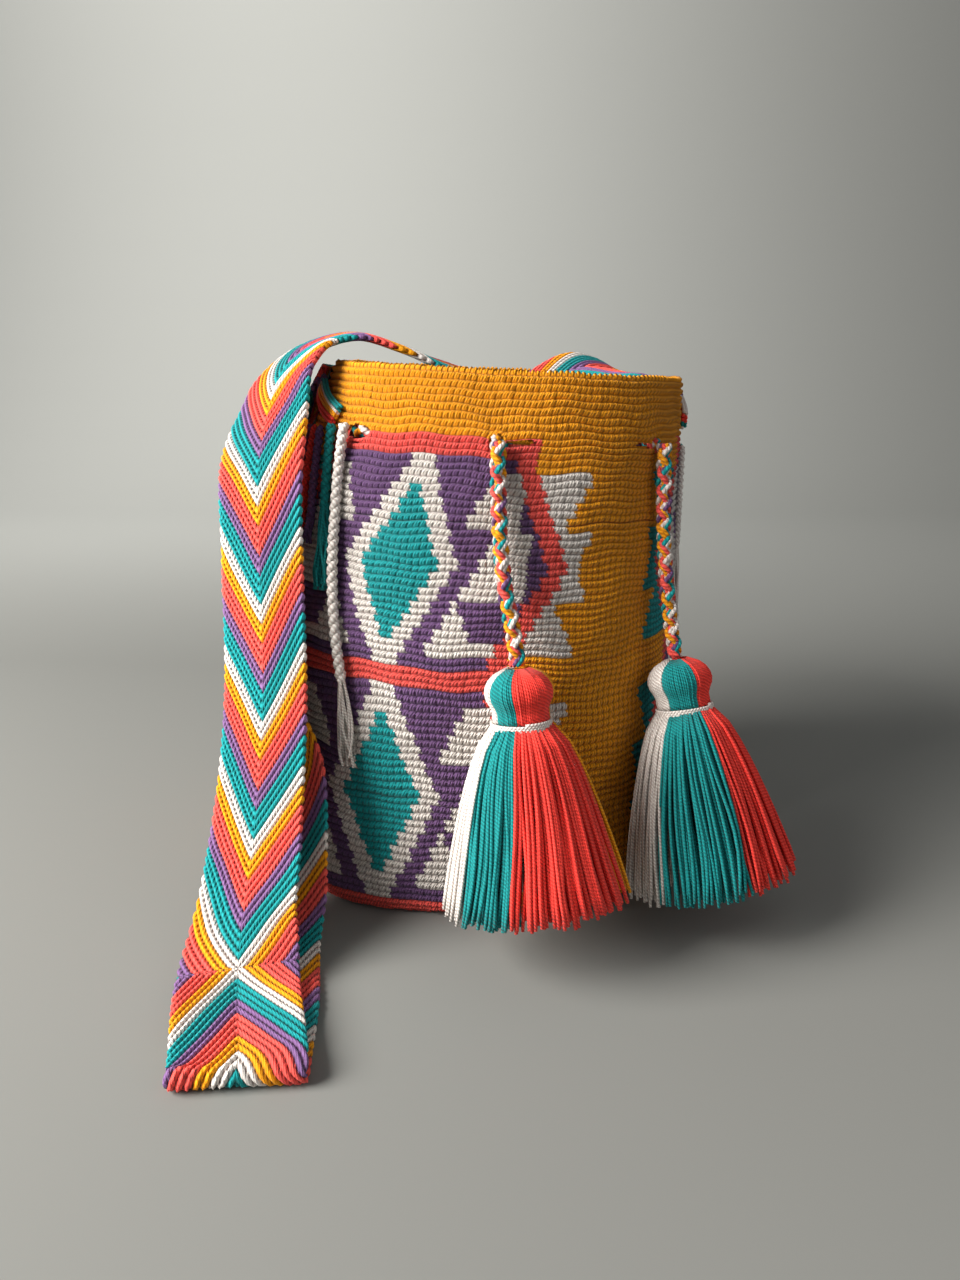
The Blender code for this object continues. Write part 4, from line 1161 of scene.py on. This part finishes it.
def lashing(name, points, outs, colours):
    """A flat bundle of yarns drawn along the rim, in two layers."""
    share = np.linspace(0.0, 1.0, 26)
    line = resample(points, len(share))
    direction = unit(np.gradient(line, axis=0))
    across = unit(np.cross(read_off(share, np.linspace(0.0, 1.0, len(outs)), outs), direction))
    face = np.cross(direction, across)
    width = LASHING_WIDTH * (1.0 - 0.42 * np.exp(-((share - 0.04) / 0.12) ** 2))
    paths = []
    chosen = []
    for layer, lift in ((0, -0.22), (1, 0.26)):
        for number in range(len(colours) - layer):
            place = (number + 0.5 * layer + 0.5) / len(colours) - 0.5
            sway = 0.0006 * np.sin(5.0 * share + number * 1.3 + layer)
            paths.append(line + across * (place * width + sway)[:, None] + face * lift * LASHING_THICKNESS)
            chosen.append(YARN_ORDER.index(colours[number]))
    # A wrap round the start of the bundle.
    turn = 2.0 * np.pi * 3.2 * share
    paths.append(line[0] + direction[0] * 0.0065 * share[:, None]
                 + across[0] * (0.40 * LASHING_WIDTH * np.cos(turn))[:, None]
                 + face[0] * (0.42 * LASHING_THICKNESS * np.sin(turn))[:, None])
    chosen.append(YARN_ORDER.index("purple"))
    radii = np.full((len(paths), len(share)), 0.52 * LASHING_WIDTH / len(colours))
    radii[-1] = 0.00105
    return tubes(name, np.array(paths), radii, "thread", chosen, sides=6, up=(0.12, 0.33, 0.93))


def tag(piece, body, slot, *nodes):
    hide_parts(*nodes)
    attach(piece, body)
    return piece


# Put everything together.

outside, first_ring, last_ring = build_outside()
for shell in outside + build_inside_and_base(first_ring, last_ring) + [build_eyelet_edges()]:
    tag(shell, "bag", "bag_yarn", "bag_body")

strap_pieces, strap_middle, strap_end = build_strap()
for shell, strap_length in zip(strap_pieces, (strap_end - strap_middle, strap_middle)):
    tag(shell, "bag", "strap_yarn", "strap")

inner = resample(smooth_path(drawstring_points()), 240)
drawstring = braid("inner_cord_braid", inner, ((3,), (1,), (4,), (0,)))
tag(drawstring, "bag", "cord_yarn", "drawstring")

# Tassels: where the cord comes out, where the head and the foot hang, the skirt's half width and depth, and
# the yarns by angle round the skirt.
for side_name, exit_turn, head_turn, head_drop, foot_turn, foot_out, skirt_half, hanks in (
        ("left", LEFT_EXIT_TURN, 9.2, 0.109, 11.5, 0.041, (0.0480, 0.0380),
         (("white", -168.0, -63.0), ("teal", -63.0, -20.0), ("coral", -20.0, 70.0),
          ("orange", 70.0, 192.0))),
        ("right", RIGHT_EXIT_TURN, 50.5, 0.117, 48.0, 0.049, (0.0530, 0.0455),
         (("white", -218.0, -95.0), ("teal", -95.0, -31.0), ("coral", -31.0, 142.0)))):
    body = side_name + "_tassel"
    rope, skirts, core, winding, line, start = build_tassel(side_name, exit_turn, head_turn, head_drop,
                                                           foot_turn, foot_out, skirt_half, hanks)
    tag(rope, body, "cord_yarn", side_name + "_drawstring_end")
    for label, skirt in skirts.items():
        tag(skirt, body, label + "_yarn", side_name + "_tassel_" + label)
    tag(winding, body, "white_yarn", side_name + "_tassel_binding")
    tag(core, body, "coral_yarn", side_name + "_tassel_coral")
    tuple(start)
    float(run_along(line)[-1])
    [tuple(spot) for spot in line]
    list(skirts.values()) + [winding, core]

# Fringe: angles down the cord, drop below the rim band, length, twisted share, thickness, loose strands and
# their spread.
for label, turns, drop, length, twist_share, thickness, loose, spread in (
        ("left_fringe_white", (-47.5, -42.0, -34.5, -32.5), 0.000, 0.180, 0.74, 0.0066, 12, 0.0044),
        ("left_fringe_teal", (-53.0, -49.5, -43.5, -42.0), 0.001, 0.084, 0.52, 0.0062, 22, 0.0038),
        ("left_fringe_purple_front", (-59.0, -56.0, -51.5, -50.0), 0.003, 0.060, 0.80, 0.0056, 9, 0.0020),
        ("left_fringe_coral_front", (-63.0, -60.5, -56.0, -55.0), 0.003, 0.062, 0.78, 0.0054, 9, 0.0020),
        ("left_fringe_purple_back", (-67.0, -65.0, -62.0, -61.0), 0.003, 0.052, 0.80, 0.0050, 9, 0.0018),
        ("left_fringe_coral_back", (-70.5, -69.0, -66.5, -65.5), 0.003, 0.046, 0.80, 0.0050, 9, 0.0018),
        ("right_fringe_white", (88.0, 87.5, 86.5, 86.0), 0.008, 0.115, 0.55, 0.0050, 14, 0.0026),
        ("right_fringe_teal", (93.0, 92.6, 92.0, 91.5), 0.008, 0.078, 0.60, 0.0054, 14, 0.0026),
        ("right_fringe_coral", (98.0, 97.7, 97.3, 97.0), 0.008, 0.086, 0.60, 0.0050, 12, 0.0022),
        ("right_fringe_purple", (103.0, 102.9, 102.7, 102.5), 0.008, 0.106, 0.60, 0.0050, 12, 0.0022)):
    colour = label.split("_")[2]
    share = np.linspace(0.0, 1.0, 31)
    stand = RIDGE + 0.0006 + 0.5 * thickness + 0.0012 * np.clip(share - twist_share, 0.0, 1.0)
    angles = np.interp(share, (0.0, 0.25, 0.72, 1.0), turns)
    route = beside(angles, RIM_BOTTOM - drop - length * share, stand)
    piece, line = fringe_cord(label + "_yarn", colour, route, twist_share, thickness, loose, spread)
    tag(piece, "bag", colour + "_yarn", label)
    tuple(line[0])
    float(run_along(line)[-1])
    [tuple(spot) for spot in line]

edge = math.degrees((0.5 * STRAP_END_WIDTH + 6.0 * GAP) / MOUTH_HALF_DEPTH)
for name, slot, start_turn, end_turn, high, low, colours in (
        ("left_lashing", "orange_yarn", LEFT_ATTACH_TURN + edge, -53.0, 0.013, RIM_BAND - 0.004,
         ("coral", "coral", "orange", "orange", "white", "teal", "teal")),
        ("right_lashing", "coral_yarn", RIGHT_ATTACH_TURN - edge, RIGHT_ATTACH_TURN - 28.0, 0.012,
         RIM_BAND - 0.008, ("white", "coral", "coral", "teal", "teal", "white"))):
    share = np.linspace(0.0, 1.0, 6)
    degrees = mix(start_turn, end_turn, share)
    z = BAG_HEIGHT - mix(high, low, share)
    points = beside(degrees, z, np.full(6, RIDGE + 2.0 * GAP + 0.5 * LASHING_THICKNESS))
    outs = unit(points - wall_point(degrees, z))
    tag(lashing(name + "_yarns", points, outs, colours), "bag", slot, name)


# Floor, backdrop, light and camera.

def build_stage():
    """A floor that turns up into a wall far behind."""
    turn_y = 1.4
    turn_radius = 1.2
    side = [(-3.0, 0.0), (turn_y, 0.0)]
    for angle in np.linspace(0.15, 0.5 * math.pi, 10):
        side.append((turn_y + turn_radius * math.sin(angle), turn_radius * (1.0 - math.cos(angle))))
    side.append((turn_y + turn_radius, 5.0))
    # It lies a little lower, so that the base doesn't flicker with it.
    points = np.array([[(x, y, z - 0.0002) for x in (-4.0, 0.0, 4.0)] for y, z in side])
    paper, _, inputs = new_material("paper")
    inputs["Base Color"].default_value = (0.222, 0.222, 0.205, 1.0)
    inputs["Roughness"].default_value = 0.9
    inputs["Specular IOR Level"].default_value = 0.1
    grid("floor", points, [paper], wrap=False)


def area_light(name, place, target, size, power, colour=(1.0, 1.0, 1.0)):
    data = bpy.data.lights.new(name, "AREA")
    data.shape = "SQUARE"
    data.size = size
    data.energy = power
    data.color = colour
    item = bpy.data.objects.new(name, data)
    bpy.context.scene.collection.objects.link(item)
    item.location = place
    item.rotation_euler = (Vector(target) - Vector(place)).to_track_quat("-Z", "Y").to_euler()


build_stage()
area_light("window", (-1.35, -0.62, 0.95), (0.0, 0.0, 0.14), 1.0, 73.0, (1.0, 0.985, 0.965))
area_light("fill", (1.6, -1.2, 1.1), (0.05, 0.0, 0.2), 1.4, 6.0)
area_light("backdrop", (-0.7, 0.9, 1.6), (-0.55, 2.6, 1.05), 1.4, 84.0)
world = bpy.data.worlds.new("room")
world.use_nodes = True
tree = Tree(world.node_tree)
room = tree.nodes["Background"].inputs
room["Color"].default_value = (0.93, 0.96, 1.0, 1.0)
# The room looks paler than it lights.
ray = tree.nodes.new("ShaderNodeLightPath").outputs
seen = tree.math("MAXIMUM", Value(tree, ray["Is Camera Ray"]), Value(tree, ray["Is Glossy Ray"]))
tree.put(room["Strength"], seen * 0.22 + 0.25)
scene = bpy.context.scene
scene.world = world
scene.view_settings.view_transform = "Standard"
camera_data = bpy.data.cameras.new("camera")
camera_data.sensor_fit = "VERTICAL"
camera_data.sensor_height = 36.0
# A focal length of 924 pixels in a picture 1280 pixels high.
camera_data.lens = 924.0 / 1280.0 * camera_data.sensor_height
camera = bpy.data.objects.new("camera", camera_data)
camera.location = (0.003, -0.582, 0.305)
camera.rotation_euler = (math.radians(90.0 - 16.6), 0.0, 0.0)
scene.collection.objects.link(camera)
scene.camera = camera
